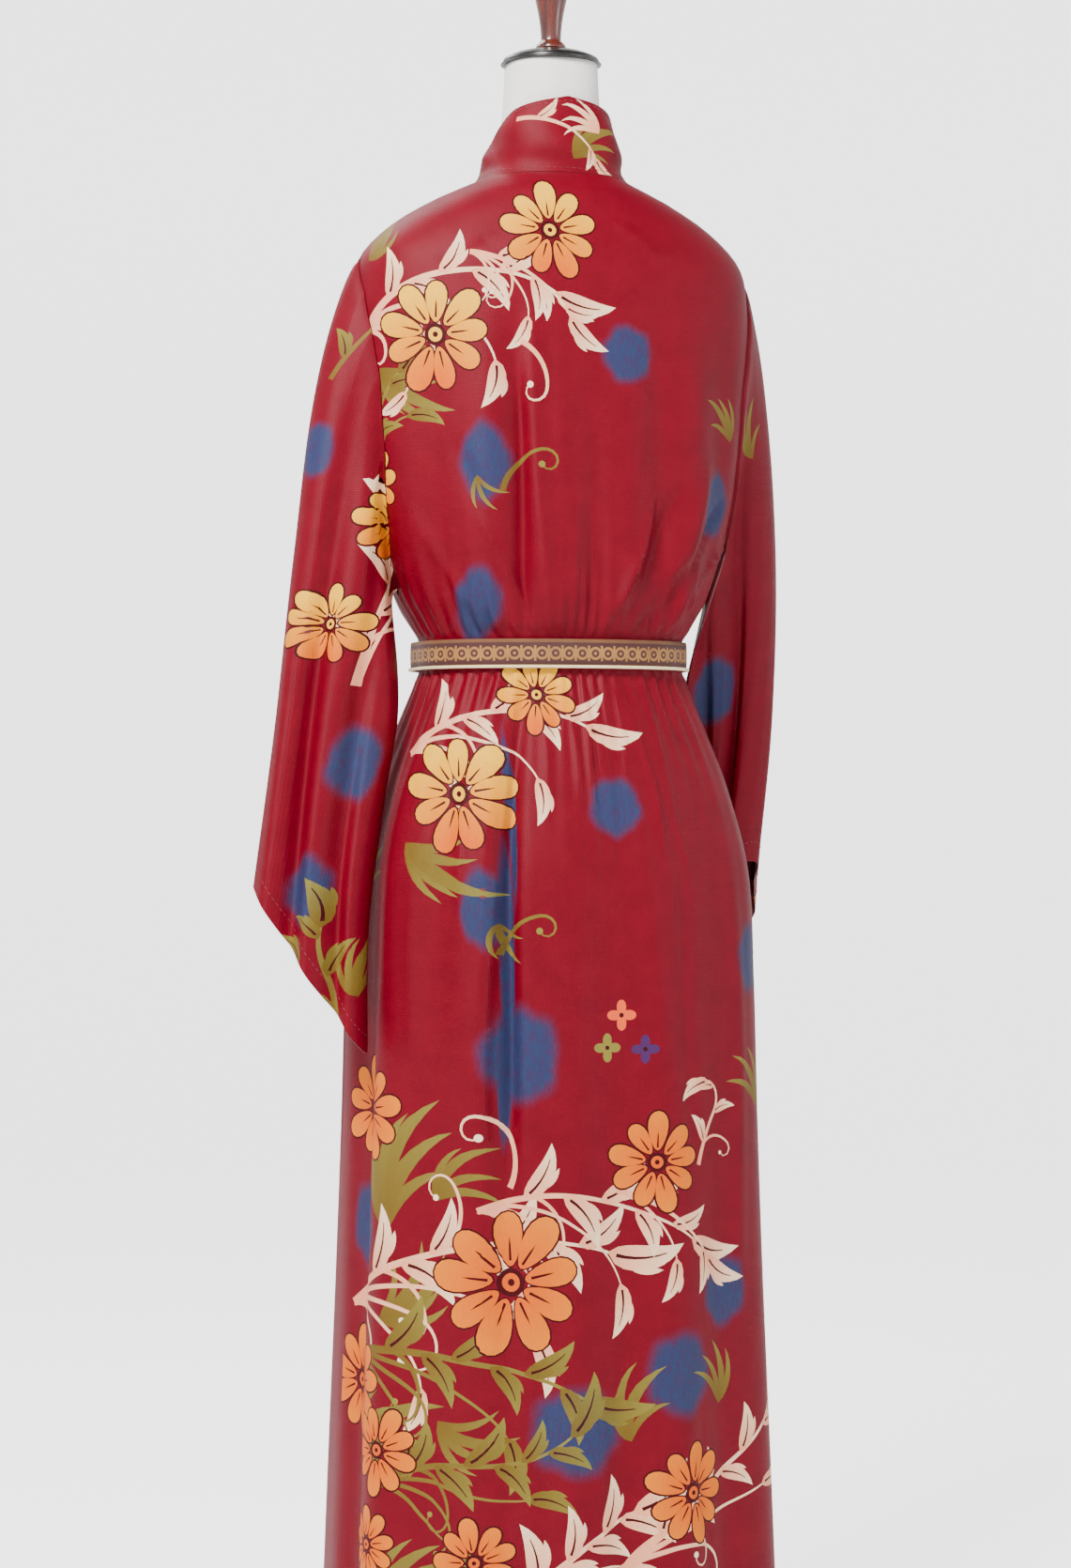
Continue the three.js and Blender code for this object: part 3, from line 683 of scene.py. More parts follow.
@dataclass(frozen=True)
class Plume:
    """A fan of long curved leaves, with the spread as the angle between the outer ones."""
    x: float
    y: float
    length: float
    turn: float
    bend: float = 50.0
    leaves: int = 5
    spread: float = 62.0
    ink: Ink = Ink.MOSS
    tip_ink: Ink = Ink.OLIVE

    def shapes(self) -> list[Shape]:
        """The plume's printed areas, lowest first."""
        made = []
        for k in range(self.leaves):
            share = k / (self.leaves - 1) - 0.5
            size = self.length * (1 - 0.6 * abs(share)) * (1 + 0.12 * math.sin(4 * k + self.x))
            made += Leaf(self.x, self.y, size, self.turn + self.spread * share - self.bend / 2, self.ink,
                         self.tip_ink, 1, self.bend * 1.7, 0.062, False).shapes()
        return made


@dataclass(frozen=True)
class Floret:
    """A small cross of four petals."""
    x: float
    y: float
    radius: float
    ink: Ink

    def shapes(self) -> list[Shape]:
        """The floret's printed areas."""
        phase = np.linspace(0, 2 * math.pi, 40, endpoint=False)
        reach = self.radius * (0.42 + 0.58 * np.abs(np.cos(2 * phase)) ** 1.3)
        middle = (self.x, self.y)
        return [Shape(circle(40) * reach[:, None] + middle, self.ink),
                Shape(circle(10) * self.radius * 0.16 + middle)]


@dataclass(frozen=True)
class Bloom:
    """A soft blue blossom that fades out at its edge. The narrow ones down the back's pleat are no blossoms
    but painted shade in its recess.
    """
    x: float
    y: float
    width: float
    height: float
    lobes: int = 5

    def depth(self, places: Array) -> Array:
        """How strong the blue is at places of flat cloth, for a blossom and for the painted shade streak
        down the back's pleat.

        Args:
            places: points of flat cloth.

        Returns:
            From 0 outside to 1 inside.
        """
        aside = (places - (self.x, self.y)) / (self.width, self.height)
        turn = np.arctan2(aside[..., 1], aside[..., 0])
        return 1 - smooth(0.70, 1.10, np.linalg.norm(aside, axis=-1) / self.edge(turn))

    def edge(self, turn: Array) -> Array:
        """How far the edge lies from the middle, as a share of its size, at a turn in radians."""
        wide, fine = np.cos(self.lobes * turn + self.x), np.cos((self.lobes + 4) * turn + self.y)
        return 1 + 0.05 * wide + 0.025 * fine

    def shapes(self) -> list[Shape]:
        """Rings without ink, along which the cloth is cut so that the soft edge comes out round."""
        turn = np.linspace(0, 2 * math.pi, 36, endpoint=False)
        ring = circle(36) * (self.width, self.height) * self.edge(turn)[:, None]
        return [Shape(ring * share + (self.x, self.y), None) for share in (0.70, 0.83, 0.97, 1.10)]


@dataclass(frozen=True)
class Print:
    """Everything that is printed on one piece of cloth, as one row of fields for each motif."""
    plumes: Rows = ()
    sprays: Rows = ()
    curls: Rows = ()
    flowers: Rows = ()
    florets: Rows = ()
    blooms: Rows = ()

    def shapes(self) -> list[Shape]:
        """All printed areas, lowest first."""
        kinds = ((Bloom, self.blooms), (Plume, self.plumes), (Spray, self.sprays), (Stem, self.curls),
                 (Flower, self.flowers), (Floret, self.florets))
        return [shape for kind, rows in kinds for row in rows for shape in kind(*row).shapes()]


# ---- Cloth: grids of points that become printed shells ----

@dataclass
class Panel:
    """One piece of cloth as rows and columns: flat as it was cut, and as it hangs with its outward normals.

    A closed panel is a tube, whose last column meets the first one.
    """
    flat: Array
    points: Array
    normals: Array
    closed: bool = False

    @property
    def size(self) -> tuple[float, float]:
        """The cut's width and length in metres: all round and down a tube, or the flat places' spread."""
        if self.closed:
            around = np.linalg.norm(np.diff(self.points, axis=1), axis=-1).sum(axis=1)
            down = np.linalg.norm(np.diff(self.points, axis=0), axis=-1).sum(axis=0)
            return float(around.max() * MM), float(down.max() * MM)
        spread = np.ptp(self.flat.reshape(-1, 2), axis=0) * MM
        return float(spread[0]), float(spread[1])

    @property
    def area(self) -> float:
        """The cut's area in square metres."""
        cloth = self.points if self.closed else np.dstack([self.flat, np.zeros(self.flat.shape[:2])])
        across, up = np.diff(cloth, axis=1)[:-1], np.diff(cloth, axis=0)[:, :-1]
        return float(np.linalg.norm(np.cross(across, up), axis=-1).sum() * MM * MM)

    def triangles(self) -> Array:
        """The grid's triangles as vertex numbers."""
        rows, columns = self.flat.shape[:2]
        a = np.arange(rows * columns).reshape(rows, columns)[:-1, :-1].ravel()
        low = np.stack([a, a + 1, a + columns + 1], -1)
        high = np.stack([a, a + columns + 1, a + columns], -1)
        return np.concatenate([low, high])

    def border(self) -> list[int]:
        """The vertex numbers round the grid's edge, in order."""
        rows, columns = self.flat.shape[:2]
        cells = np.arange(rows * columns).reshape(rows, columns)
        sides = (cells[0], cells[1:, -1], cells[-1, -2::-1], cells[-2:0:-1, 0])
        return np.concatenate(sides).tolist()


@dataclass
class Printer:
    """Makes a printed shell from a panel.

    Its outer face is cut along the print's outlines, so that every edge of the print is crisp.
    The cutting is done on the panel's own lattice, where one cell is one step each way.
    """
    panel: Panel
    print: Print
    thickness: float = CLOTH
    margin: float = 0.03
    beside: float = 0.01
    merge: float = 1e-5

    def lattice_outlines(self) -> list[tuple[Shape, Array]]:
        """The printed areas whose outlines reach the cloth, each with its outline on the lattice.

        Returns:
            The areas and their outlines, lowest first.
        """
        flat, triangles = self.panel.flat.reshape(-1, 2), self.panel.triangles()
        rows, columns = self.panel.flat.shape[:2]
        tree = BVHTree.FromPolygons([(x, y, 0.0) for x, y in flat], triangles.tolist())
        low, high = flat.min(0), flat.max(0)
        found = []
        for shape in self.print.shapes():
            if np.any(shape.outline.max(0) < low) or np.any(shape.outline.min(0) > high):
                continue
            line, outside = np.zeros_like(shape.outline), 0
            for k, place in enumerate(shape.outline):
                near, _, index, distance = tree.find_nearest((*place, 0.0))
                corners = triangles[index]
                weights = self.weights(flat[corners], np.array(near[:2]))
                line[k] = weights @ np.stack([corners % columns, corners // columns], -1)
                outside += distance > self.beside
            if outside < len(line):
                top = np.array([columns, rows]) - 1 - self.margin
                found.append((shape, np.clip(line, self.margin, top)))
        return found

    @staticmethod
    def weights(corners: Array, place: Array) -> Array:
        """A place's share of each corner of a flat triangle.

        Args:
            corners: the triangle's three corners.
            place: a place in it.

        Returns:
            Three shares that add up to 1.
        """
        (ax, ay), (bx, by), (cx, cy) = corners
        whole = (bx - ax) * (cy - ay) - (by - ay) * (cx - ax)
        first = ((bx - place[0]) * (cy - place[1]) - (by - place[1]) * (cx - place[0])) / whole
        second = ((cx - place[0]) * (ay - place[1]) - (cy - place[1]) * (ax - place[0])) / whole
        return np.array([first, second, 1 - first - second])

    def read(self, grid: Array, lattice: Array) -> Array:
        """Reads one of the panel's grids at places on its lattice.

        Args:
            grid: rows and columns of values.
            lattice: places as column and row numbers.

        Returns:
            The values there, on the flat triangles of the grid.
        """
        rows, columns = grid.shape[:2]
        j = np.clip(lattice[:, 0].astype(int), 0, columns - 2)
        i = np.clip(lattice[:, 1].astype(int), 0, rows - 2)
        u, v = (lattice[:, 0] - j)[:, None], (lattice[:, 1] - i)[:, None]
        a, b, c, d = grid[i, j], grid[i, j + 1], grid[i + 1, j + 1], grid[i + 1, j]
        return np.where(u >= v, a + (b - a) * u + (c - b) * v, a + (c - d) * u + (d - a) * v)

    def cut(self, outlines: list[Array]) -> tuple[Array, Array, Array]:
        """Triangulates the lattice along the outlines.

        Args:
            outlines: the outlines on the lattice.

        Returns:
            Lattice places, the number of each grid point among them, and the triangles.
        """
        rows, columns = self.panel.flat.shape[:2]
        border = self.panel.border()
        across, up = np.meshgrid(np.arange(columns), np.arange(rows))
        places = [Vector(place) for place in np.stack([across.ravel(), up.ravel()], -1).astype(float)]
        edges = list(zip(border, border[1:] + border[:1]))
        for outline in outlines:
            first = len(places)
            places += [Vector(place) for place in outline]
            ring = list(range(first, len(places)))
            edges += list(zip(ring, ring[1:] + ring[:1]))
        verts, _, faces, origins, _, _ = delaunay_2d_cdt(places, edges, [], 0, self.merge)
        number = np.full(rows * columns, -1)
        for k, origin in enumerate(origins):
            for o in origin:
                if o < rows * columns:
                    number[o] = k
        return np.array([tuple(v) for v in verts]), number, np.array(faces)

    def build(self, name: str, face: Material, reverse: Material) -> Piece:
        """Builds the shell.

        Args:
            name: the piece's name.
            face: the material of the printed side.
            reverse: the material of the other side.

        Returns:
            The finished piece.
        """
        panel = self.panel
        outlines = self.lattice_outlines()
        lattice, number, faces = self.cut([line for _, line in outlines])
        flat, points = self.read(panel.flat, lattice), self.read(panel.points, lattice)
        normals = unit(self.read(panel.normals, lattice))
        middles = lattice[faces].mean(axis=1)
        inks = np.zeros((len(faces), 3, 4))
        for shape, line in outlines:
            if shape.ink is None:
                continue
            inside = within(line, middles)
            inks[inside, :, :3] = shape.colour(flat[faces[inside]])
            inks[inside, :, 3] = 1.0
        rim = self.rim(number, len(points))
        inner = panel.points.reshape(-1, 3) - panel.normals.reshape(-1, 3) * self.thickness
        inner_faces = panel.triangles()[:, ::-1] + len(points)
        all_faces = np.concatenate([faces, inner_faces, rim])
        corner_inks = np.concatenate([inks, np.zeros((len(all_faces) - len(faces), 3, 4))])
        a, b, c = (points[faces[:, k]] for k in range(3))
        if np.sum(np.cross(b - a, c - a) * normals[faces[:, 0]]) < 0:
            all_faces, corner_inks = all_faces[:, ::-1], corner_inks[:, ::-1]
        corner_flat = np.concatenate([flat, panel.flat.reshape(-1, 2)])[all_faces] * MM
        if panel.closed:
            all_faces = self.weld(number, len(points))[all_faces]
        # The blue of the blossoms, which on the back also paints shade in a narrow streak down the pleat.
        blooms = np.zeros(len(points) + len(inner))
        for row in self.print.blooms:
            blooms[:len(points)] = np.maximum(blooms[:len(points)], Bloom(*row).depth(flat))
        used, numbers = np.unique(all_faces, return_inverse=True)
        mesh = bpy.data.meshes.new(name)
        verts = np.concatenate([points, inner])[used] * MM
        mesh.from_pydata(verts.tolist(), [], numbers.reshape(-1, 3).tolist())
        mesh.materials.append(face)
        mesh.materials.append(reverse)
        slots = (np.arange(len(all_faces)) >= len(faces)).astype(np.int32)
        mesh.polygons.foreach_set("material_index", slots)
        mesh.polygons.foreach_set("use_smooth", np.ones(len(slots), bool))
        layer = mesh.uv_layers.new(name="cloth")
        layer.data.foreach_set("uv", corner_flat.reshape(-1).astype(np.float32))
        layer = mesh.color_attributes.new("ink", "FLOAT_COLOR", "CORNER")
        layer.data.foreach_set("color", corner_inks.reshape(-1).astype(np.float32))
        layer = mesh.attributes.new("blossom_and_pleat_shade", "FLOAT", "POINT")
        layer.data.foreach_set("value", blooms[used].astype(np.float32))
        vertex_normals = np.concatenate([normals, -panel.normals.reshape(-1, 3)])
        mesh.normals_split_custom_set_from_vertices(vertex_normals[used].tolist())
        log.info("%s: %d triangles, flat %.2f by %.2f m", name, len(slots), *panel.size)
        return linked(name, mesh)

    def rim(self, number: Array, start: int) -> Array:
        """The narrow faces that join the outer face's border to the inner face's.

        Args:
            number: the number of each grid point among the outer face's places.
            start: the number of the inner face's first place.

        Returns:
            The rim's triangles.
        """
        columns = self.panel.flat.shape[1]
        border = np.array(self.panel.border())
        after = np.roll(border, -1)
        if self.panel.closed:
            seam = (border % columns == after % columns) & (border % columns % (columns - 1) == 0)
            border, after = border[~seam], after[~seam]
        return np.concatenate([
            np.stack([border + start, number[after], number[border]], -1),
            np.stack([border + start, after + start, number[after]], -1)])

    def weld(self, number: Array, start: int) -> Array:
        """Renames the last column's points to the first column's.

        Args:
            number: the number of each grid point among the outer face's places.
            start: the number of the inner face's first place.

        Returns:
            The new name of every place.
        """
        rows, columns = self.panel.flat.shape[:2]
        names = np.arange(start + rows * columns)
        last = np.arange(rows) * columns + columns - 1
        names[number[last]] = number[last - columns + 1]
        names[last + start] = last + start - columns + 1
        return names


@dataclass
class BodyCut:
    """Unrolls the robe's body: distances round it from a middle line, at each height."""
    middle: float
    low: float = HEM_Z
    high: float = NECKLINE_Z

    def __post_init__(self) -> None:
        """Measures the body on a grid of heights and angles."""
        self.heights = np.linspace(self.low, self.high, 120)
        self.turns = np.arange(-190.0, 191.0, 1.0)
        angle, z = np.meshgrid(self.turns + self.middle, self.heights)
        radius = SURFACE.ring_radius(angle, z)
        steps = np.linalg.norm(np.diff(upright(radius, angle, self.heights[:, None]), axis=1), axis=-1)
        arcs = np.concatenate([np.zeros((len(self.heights), 1)), np.cumsum(steps, axis=1)], axis=1)
        self.arcs = arcs - arcs[:, [190]]

    def flat(self, angle: Array, z: Array) -> Array:
        """Flat places of points on the robe.

        Args:
            angle: places round the robe.
            z: heights.

        Returns:
            The distance from the middle line, and the height.
        """
        column = turn_between(angle, self.middle) + 190
        row = (z - self.low) / (self.high - self.low) * (len(self.heights) - 1)
        i = np.clip(row.astype(int), 0, len(self.heights) - 2)
        j = np.clip(column.astype(int), 0, len(self.turns) - 2)
        u, v = column - j, row - i
        low = mix(self.arcs[i, j], self.arcs[i, j + 1], u)
        high = mix(self.arcs[i + 1, j], self.arcs[i + 1, j + 1], u)
        return np.stack([mix(low, high, v), z], -1)


def panel_heights() -> Array:
    """Heights for the rows of a body panel from the hem up, closest by the belt where the gathers are."""
    heights = [HEM_Z]
    while heights[-1] < NECKLINE_Z - 0.5:
        away = abs(heights[-1] - BELT_Z)
        heights.append(heights[-1] + next(step for reach, step in ROW_STEPS if away < reach))
    heights[-1] = NECKLINE_Z
    return np.array(heights)


def armhole_half(z: Array) -> Array:
    """Half the armhole's opening at a height."""
    return ARMHOLE_HALF * ARMHOLE.straight(z, "open")


def side_edge(z: Array) -> Array:
    """The angle from the side seam's line to a panel's edge at a height."""
    return np.degrees((armhole_half(z) + SEAM_GAP / 2) / ROBE_RINGS.at(z, "side"))


def body_panel(middle: float, columns: int, low: Callable[[Array], Array], high: Callable[[Array], Array],
               lift: Callable[[Array], Array]) -> Panel:
    """A panel of the robe's body between two edges.

    Args:
        middle: the angle of the flat cloth's middle line.
        columns: how many columns the grid has.
        low: the angle of the one edge at a height.
        high: the angle of the other.
        lift: how far the panel stands off at an angle.

    Returns:
        The panel.
    """
    heights = panel_heights()
    share = np.linspace(0, 1, columns + 1)
    if middle > 0:
        share = np.union1d(share, np.linspace(*PLEAT_SHARES))
    share = share[None, :]
    angle = mix(low(heights)[:, None], high(heights)[:, None], share)
    z = np.broadcast_to(heights[:, None], angle.shape)
    flat = BodyCut(middle).flat(angle, z)
    return Panel(flat, SURFACE.point(angle, z, lift(angle)), SURFACE.normal(angle, z))


# ---- Materials ----

FLOOR_GLOW = 0.32
FLOOR_SEEN = 1.8


class Nodes:
    """Writes a node tree: makes nodes, sets their sockets and joins them."""

    def __init__(self, tree: NodeTree) -> None:
        """Starts writing into a tree."""
        self.tree = tree

    def feed(self, node: Node, inputs: dict) -> Node:
        """Sets a node's inputs.

        Args:
            node: the node.
            inputs: values, or sockets to join, by the input's name or number.

        Returns:
            The node.
        """
        for key, value in inputs.items():
            if isinstance(value, Socket):
                self.tree.links.new(value, node.inputs[key])
            elif node.inputs[key].type == "RGBA":
                node.inputs[key].default_value = (*value, 1.0)
            else:
                node.inputs[key].default_value = value
        return node

    def add(self, kind: str, inputs: dict | None = None, **settings: object) -> Node:
        """Adds a node.

        Args:
            kind: the node's type.
            inputs: values or sockets for its inputs.
            settings: its own settings.

        Returns:
            The node.
        """
        node = self.tree.nodes.new(kind)
        for key, value in settings.items():
            setattr(node, key, value)
        return self.feed(node, inputs or {})

    def cloth(self) -> Socket:
        """The flat place on a piece's cloth."""
        return self.add("ShaderNodeUVMap", uv_map="cloth").outputs[0]

    def place(self) -> Socket:
        """The place in the part's own frame."""
        return self.add("ShaderNodeTexCoord").outputs["Object"]

    def math(self, operation: str, *values: object) -> Socket:
        """A Math node's result."""
        return self.add("ShaderNodeMath", dict(enumerate(values)), operation=operation).outputs[0]

    def blend(self, share: object, a: object, b: object) -> Socket:
        """A blend of two colours, from a to b by share."""
        return self.add("ShaderNodeMix", {0: share, 6: a, 7: b}, data_type="RGBA").outputs[2]

    def steps(self, value: Socket, *stops: tuple[float, float]) -> Socket:
        """A value read off a ramp of greys.

        Args:
            value: the value to read.
            stops: two places on the ramp, each with its grey.

        Returns:
            The output socket.
        """
        ramp = self.add("ShaderNodeValToRGB", {0: value})
        for element, (place, grey) in zip(ramp.color_ramp.elements, stops):
            element.position, element.color = place, (grey, grey, grey, 1)
        return ramp.outputs[0]

    def relief(self, shader: Node, height: Socket, strength: float, distance: float) -> None:
        """Gives a shader a fine relief, with how strongly it shows and how high it stands in metres."""
        bump = self.add("ShaderNodeBump", {"Strength": strength, "Distance": distance, "Height": height})
        self.feed(shader, {"Normal": bump.outputs[0]})


def group(name: str, scale: str, default: float, outputs: tuple[str, str],
          fill: Callable[[Nodes, Node], tuple[Socket, Socket]]) -> NodeTree:
    """Builds a shader node group with a place and one scale as inputs and two values as outputs.

    Args:
        name: the group's name.
        scale: the name of its scale.
        default: the scale's default.
        outputs: the outputs' names.
        fill: writes the nodes, and returns the outputs' sockets.

    Returns:
        The group.
    """
    tree = bpy.data.node_groups.new(name, "ShaderNodeTree")
    tree.interface.new_socket("Place", in_out="INPUT", socket_type="NodeSocketVector")
    tree.interface.new_socket(scale, in_out="INPUT", socket_type="NodeSocketFloat").default_value = default
    for key in outputs:
        tree.interface.new_socket(key, in_out="OUTPUT", socket_type="NodeSocketFloat")
    nodes = Nodes(tree)
    entry, end = nodes.add("NodeGroupInput"), nodes.add("NodeGroupOutput")
    nodes.feed(end, dict(zip(outputs, fill(nodes, entry))))
    return tree


def weave_group() -> NodeTree:
    """The crossing threads of a weave, as a height, and its slow unevenness."""
    def fill(nodes: Nodes, entry: Node) -> tuple[Socket, Socket]:
        """Writes the group's nodes."""
        place = nodes.add("ShaderNodeSeparateXYZ", {0: entry.outputs["Place"]})
        count = nodes.math("MULTIPLY", entry.outputs["Threads per metre"], 2 * math.pi)
        across = nodes.math("SINE", nodes.math("MULTIPLY", place.outputs[0], count))
        along = nodes.math("SINE", nodes.math("MULTIPLY", place.outputs[1], count))
        slow = nodes.add("ShaderNodeTexNoise", {
            "Vector": entry.outputs["Place"], "Scale": 42.0, "Detail": 3.0})
        threads = nodes.math("MULTIPLY", nodes.math("ADD", across, along), 0.25)
        return nodes.math("ADD", threads, nodes.math("MULTIPLY", slow.outputs[0], 2.0)), slow.outputs[0]
    return group("woven_threads", "Threads per metre", 900.0, ("Height", "Slub"), fill)


def grain_group() -> NodeTree:
    """Long wood grain round an upright axis, as a mask and pores."""
    def fill(nodes: Nodes, entry: Node) -> tuple[Socket, Socket]:
        """Writes the group's nodes."""
        drawn = nodes.add("ShaderNodeMapping", {"Vector": entry.outputs["Place"], "Scale": (1.0, 1.0, 0.07)})
        scale = entry.outputs["Scale"]
        figure = nodes.add("ShaderNodeTexNoise", {
            "Vector": drawn.outputs[0], "Scale": scale, "Detail": 6.0, "Distortion": 0.6})
        pores = nodes.add("ShaderNodeTexNoise", {
            "Vector": drawn.outputs[0], "Scale": nodes.math("MULTIPLY", scale, 9.0), "Detail": 2.0})
        return (nodes.steps(figure.outputs[0], (0.36, 0.0), (0.64, 1.0)),
                nodes.steps(pores.outputs[0], (0.42, 0.0), (0.60, 1.0)))
    return group("wood_grain", "Scale", 55.0, ("Figure", "Pores"), fill)


@dataclass(frozen=True)
class Finishes:
    """The shader groups that several materials share."""
    weave: NodeTree
    grain: NodeTree

    def start(self, name: str, **constants: object) -> tuple[Material, Nodes, Node]:
        """A new material with its Principled shader.

        Args:
            name: the material's name.
            constants: values for the shader's own sockets, with _ for a space.

        Returns:
            The material, its tree's writer and the shader.
        """
        material = bpy.data.materials.new(name)
        material.use_nodes = True
        nodes = Nodes(material.node_tree)
        shader = material.node_tree.nodes["Principled BSDF"]
        nodes.feed(shader, {key.replace("_", " "): value for key, value in constants.items()})
        return material, nodes, shader

    def threads(self, nodes: Nodes, place: Socket, count: float) -> Node:
        """The weave's group in a material, at a place of its cloth and with its thread count."""
        inputs = {"Place": place, "Threads per metre": count}
        return nodes.add("ShaderNodeGroup", inputs, node_tree=self.weave)


@dataclass(frozen=True)
class Satin:
    """Light printed satin."""
    ground: Colour = srgb(116, 0, 26)
    deep: Colour = srgb(96, 0, 20)
    # The blue of the printed blossoms, which also paints shade in a narrow streak down the back's pleat.
    blossom_and_pleat_shade: Colour = srgb(18, 68, 100)
    blossom_and_pleat_shade_dark: Colour = srgb(40, 26, 72)
    sheen: Colour = srgb(255, 70, 95)
    gloss: float = 0.44
    ink_gloss: float = 0.10
    ink_cover: float = 0.98
    threads: float = 700.0

    def face(self, finishes: Finishes) -> Material:
        """The printed side, whose colours come from the ink attribute and from the blue attribute of the
        blossoms and of the painted shade streak down the back's pleat.
        """
        material, nodes, shader = finishes.start(
            "printed_satin", Sheen_Weight=0.02, Sheen_Roughness=0.3, Sheen_Tint=self.sheen,
            Specular_IOR_Level=0.3, IOR=1.3)
        cloth = nodes.cloth()
        threads = finishes.threads(nodes, cloth, self.threads)
        ground = nodes.blend(threads.outputs["Slub"], self.deep, self.ground)
        drawn = nodes.add("ShaderNodeMapping", {"Vector": cloth, "Scale": (4.0, 1.0, 1.0)}).outputs[0]
        streak = nodes.add("ShaderNodeTexNoise", {
            "Vector": drawn, "Scale": 90.0, "Detail": 4.0, "Roughness": 0.7}).outputs[0]
        density = nodes.math("MULTIPLY", 0.4, nodes.steps(streak, (0.3, 0.0), (0.7, 1.0)))
        # Blue blossoms, with the narrow streak of painted shade down the back's pleat.
        blossom_and_pleat_shade = nodes.add("ShaderNodeAttribute", attribute_name="blossom_and_pleat_shade").outputs["Fac"]
        strong = nodes.math("MULTIPLY", blossom_and_pleat_shade, nodes.math("ADD", 0.72, density))
        brushed = nodes.math("MINIMUM", 0.92, strong)
        blossoms_and_pleat_shade_colour = nodes.blend(brushed, ground, nodes.blend(streak, self.blossom_and_pleat_shade_dark, self.blossom_and_pleat_shade))
        ink = nodes.add("ShaderNodeAttribute", attribute_name="ink")
        cover = nodes.math("MULTIPLY", self.ink_cover, nodes.steps(streak, (0.25, 0.86), (0.75, 1.0)))
        inked = nodes.math("MULTIPLY", ink.outputs["Alpha"], cover)
        gloss = nodes.math("ADD", self.gloss, nodes.math("MULTIPLY", ink.outputs["Alpha"], self.ink_gloss))
        colour = nodes.blend(inked, blossoms_and_pleat_shade_colour, ink.outputs["Color"])
        nodes.feed(shader, {"Base Color": colour, "Roughness": gloss})
        nodes.relief(shader, threads.outputs["Height"], 0.3, 0.0006)
        return material


@dataclass(frozen=True)
class Sash:
    """The belt's woven band: a tan chain of rings on brown. Sizes are in metres."""
    ground: Colour = srgb(62, 14, 10)
    chain: Colour = srgb(186, 134, 62)
    chain_deep: Colour = srgb(116, 66, 24)
    pitch: float = 0.0125
    ring: float = 0.0048
    line: float = 0.0012
    link_reach: float = 0.007
    edge: float = 0.0098

    def material(self, finishes: Finishes) -> Material:
        """The band's material."""
        material, nodes, shader = finishes.start("woven_sash", Sheen_Weight=0.05, Roughness=0.6)
        cloth = nodes.cloth()
        place = nodes.add("ShaderNodeSeparateXYZ", {0: cloth})
        step = nodes.math("FRACT", nodes.math("DIVIDE", place.outputs[0], self.pitch))
        cell = nodes.math("MULTIPLY", nodes.math("SUBTRACT", step, 0.5), self.pitch)
        rise = nodes.math("ABSOLUTE", place.outputs[1])
        reach = nodes.math("SQRT", nodes.math(
            "ADD", nodes.math("MULTIPLY", cell, cell), nodes.math("MULTIPLY", rise, rise)))
        off_ring = nodes.math("SUBTRACT", reach, self.ring)
        ring = nodes.math("LESS_THAN", nodes.math("ABSOLUTE", off_ring), self.line)
        dot = nodes.math("LESS_THAN", reach, self.line * 1.2)
        off_link = nodes.math("SUBTRACT", nodes.math("ABSOLUTE", cell), self.pitch / 2)
        between = nodes.math("ABSOLUTE", off_link)
        link = nodes.math("MULTIPLY", nodes.math("LESS_THAN", between, self.line * 0.9),
                          nodes.math("LESS_THAN", rise, self.link_reach))
        woven = nodes.math("MAXIMUM", nodes.math("MAXIMUM", ring, dot), link)
        edge = nodes.math("MULTIPLY", nodes.math("GREATER_THAN", rise, self.edge), 0.35)
        threads = finishes.threads(nodes, cloth, 1100.0)
        tone = nodes.blend(threads.outputs["Slub"], self.chain_deep, self.chain)
        colour = nodes.blend(nodes.math("MAXIMUM", woven, edge), self.ground, tone)
        nodes.feed(shader, {"Base Color": colour})
        height = nodes.math("ADD", threads.outputs["Height"], nodes.math("MULTIPLY", woven, 1.4))
        nodes.relief(shader, height, 0.6, 0.0006)
        return material


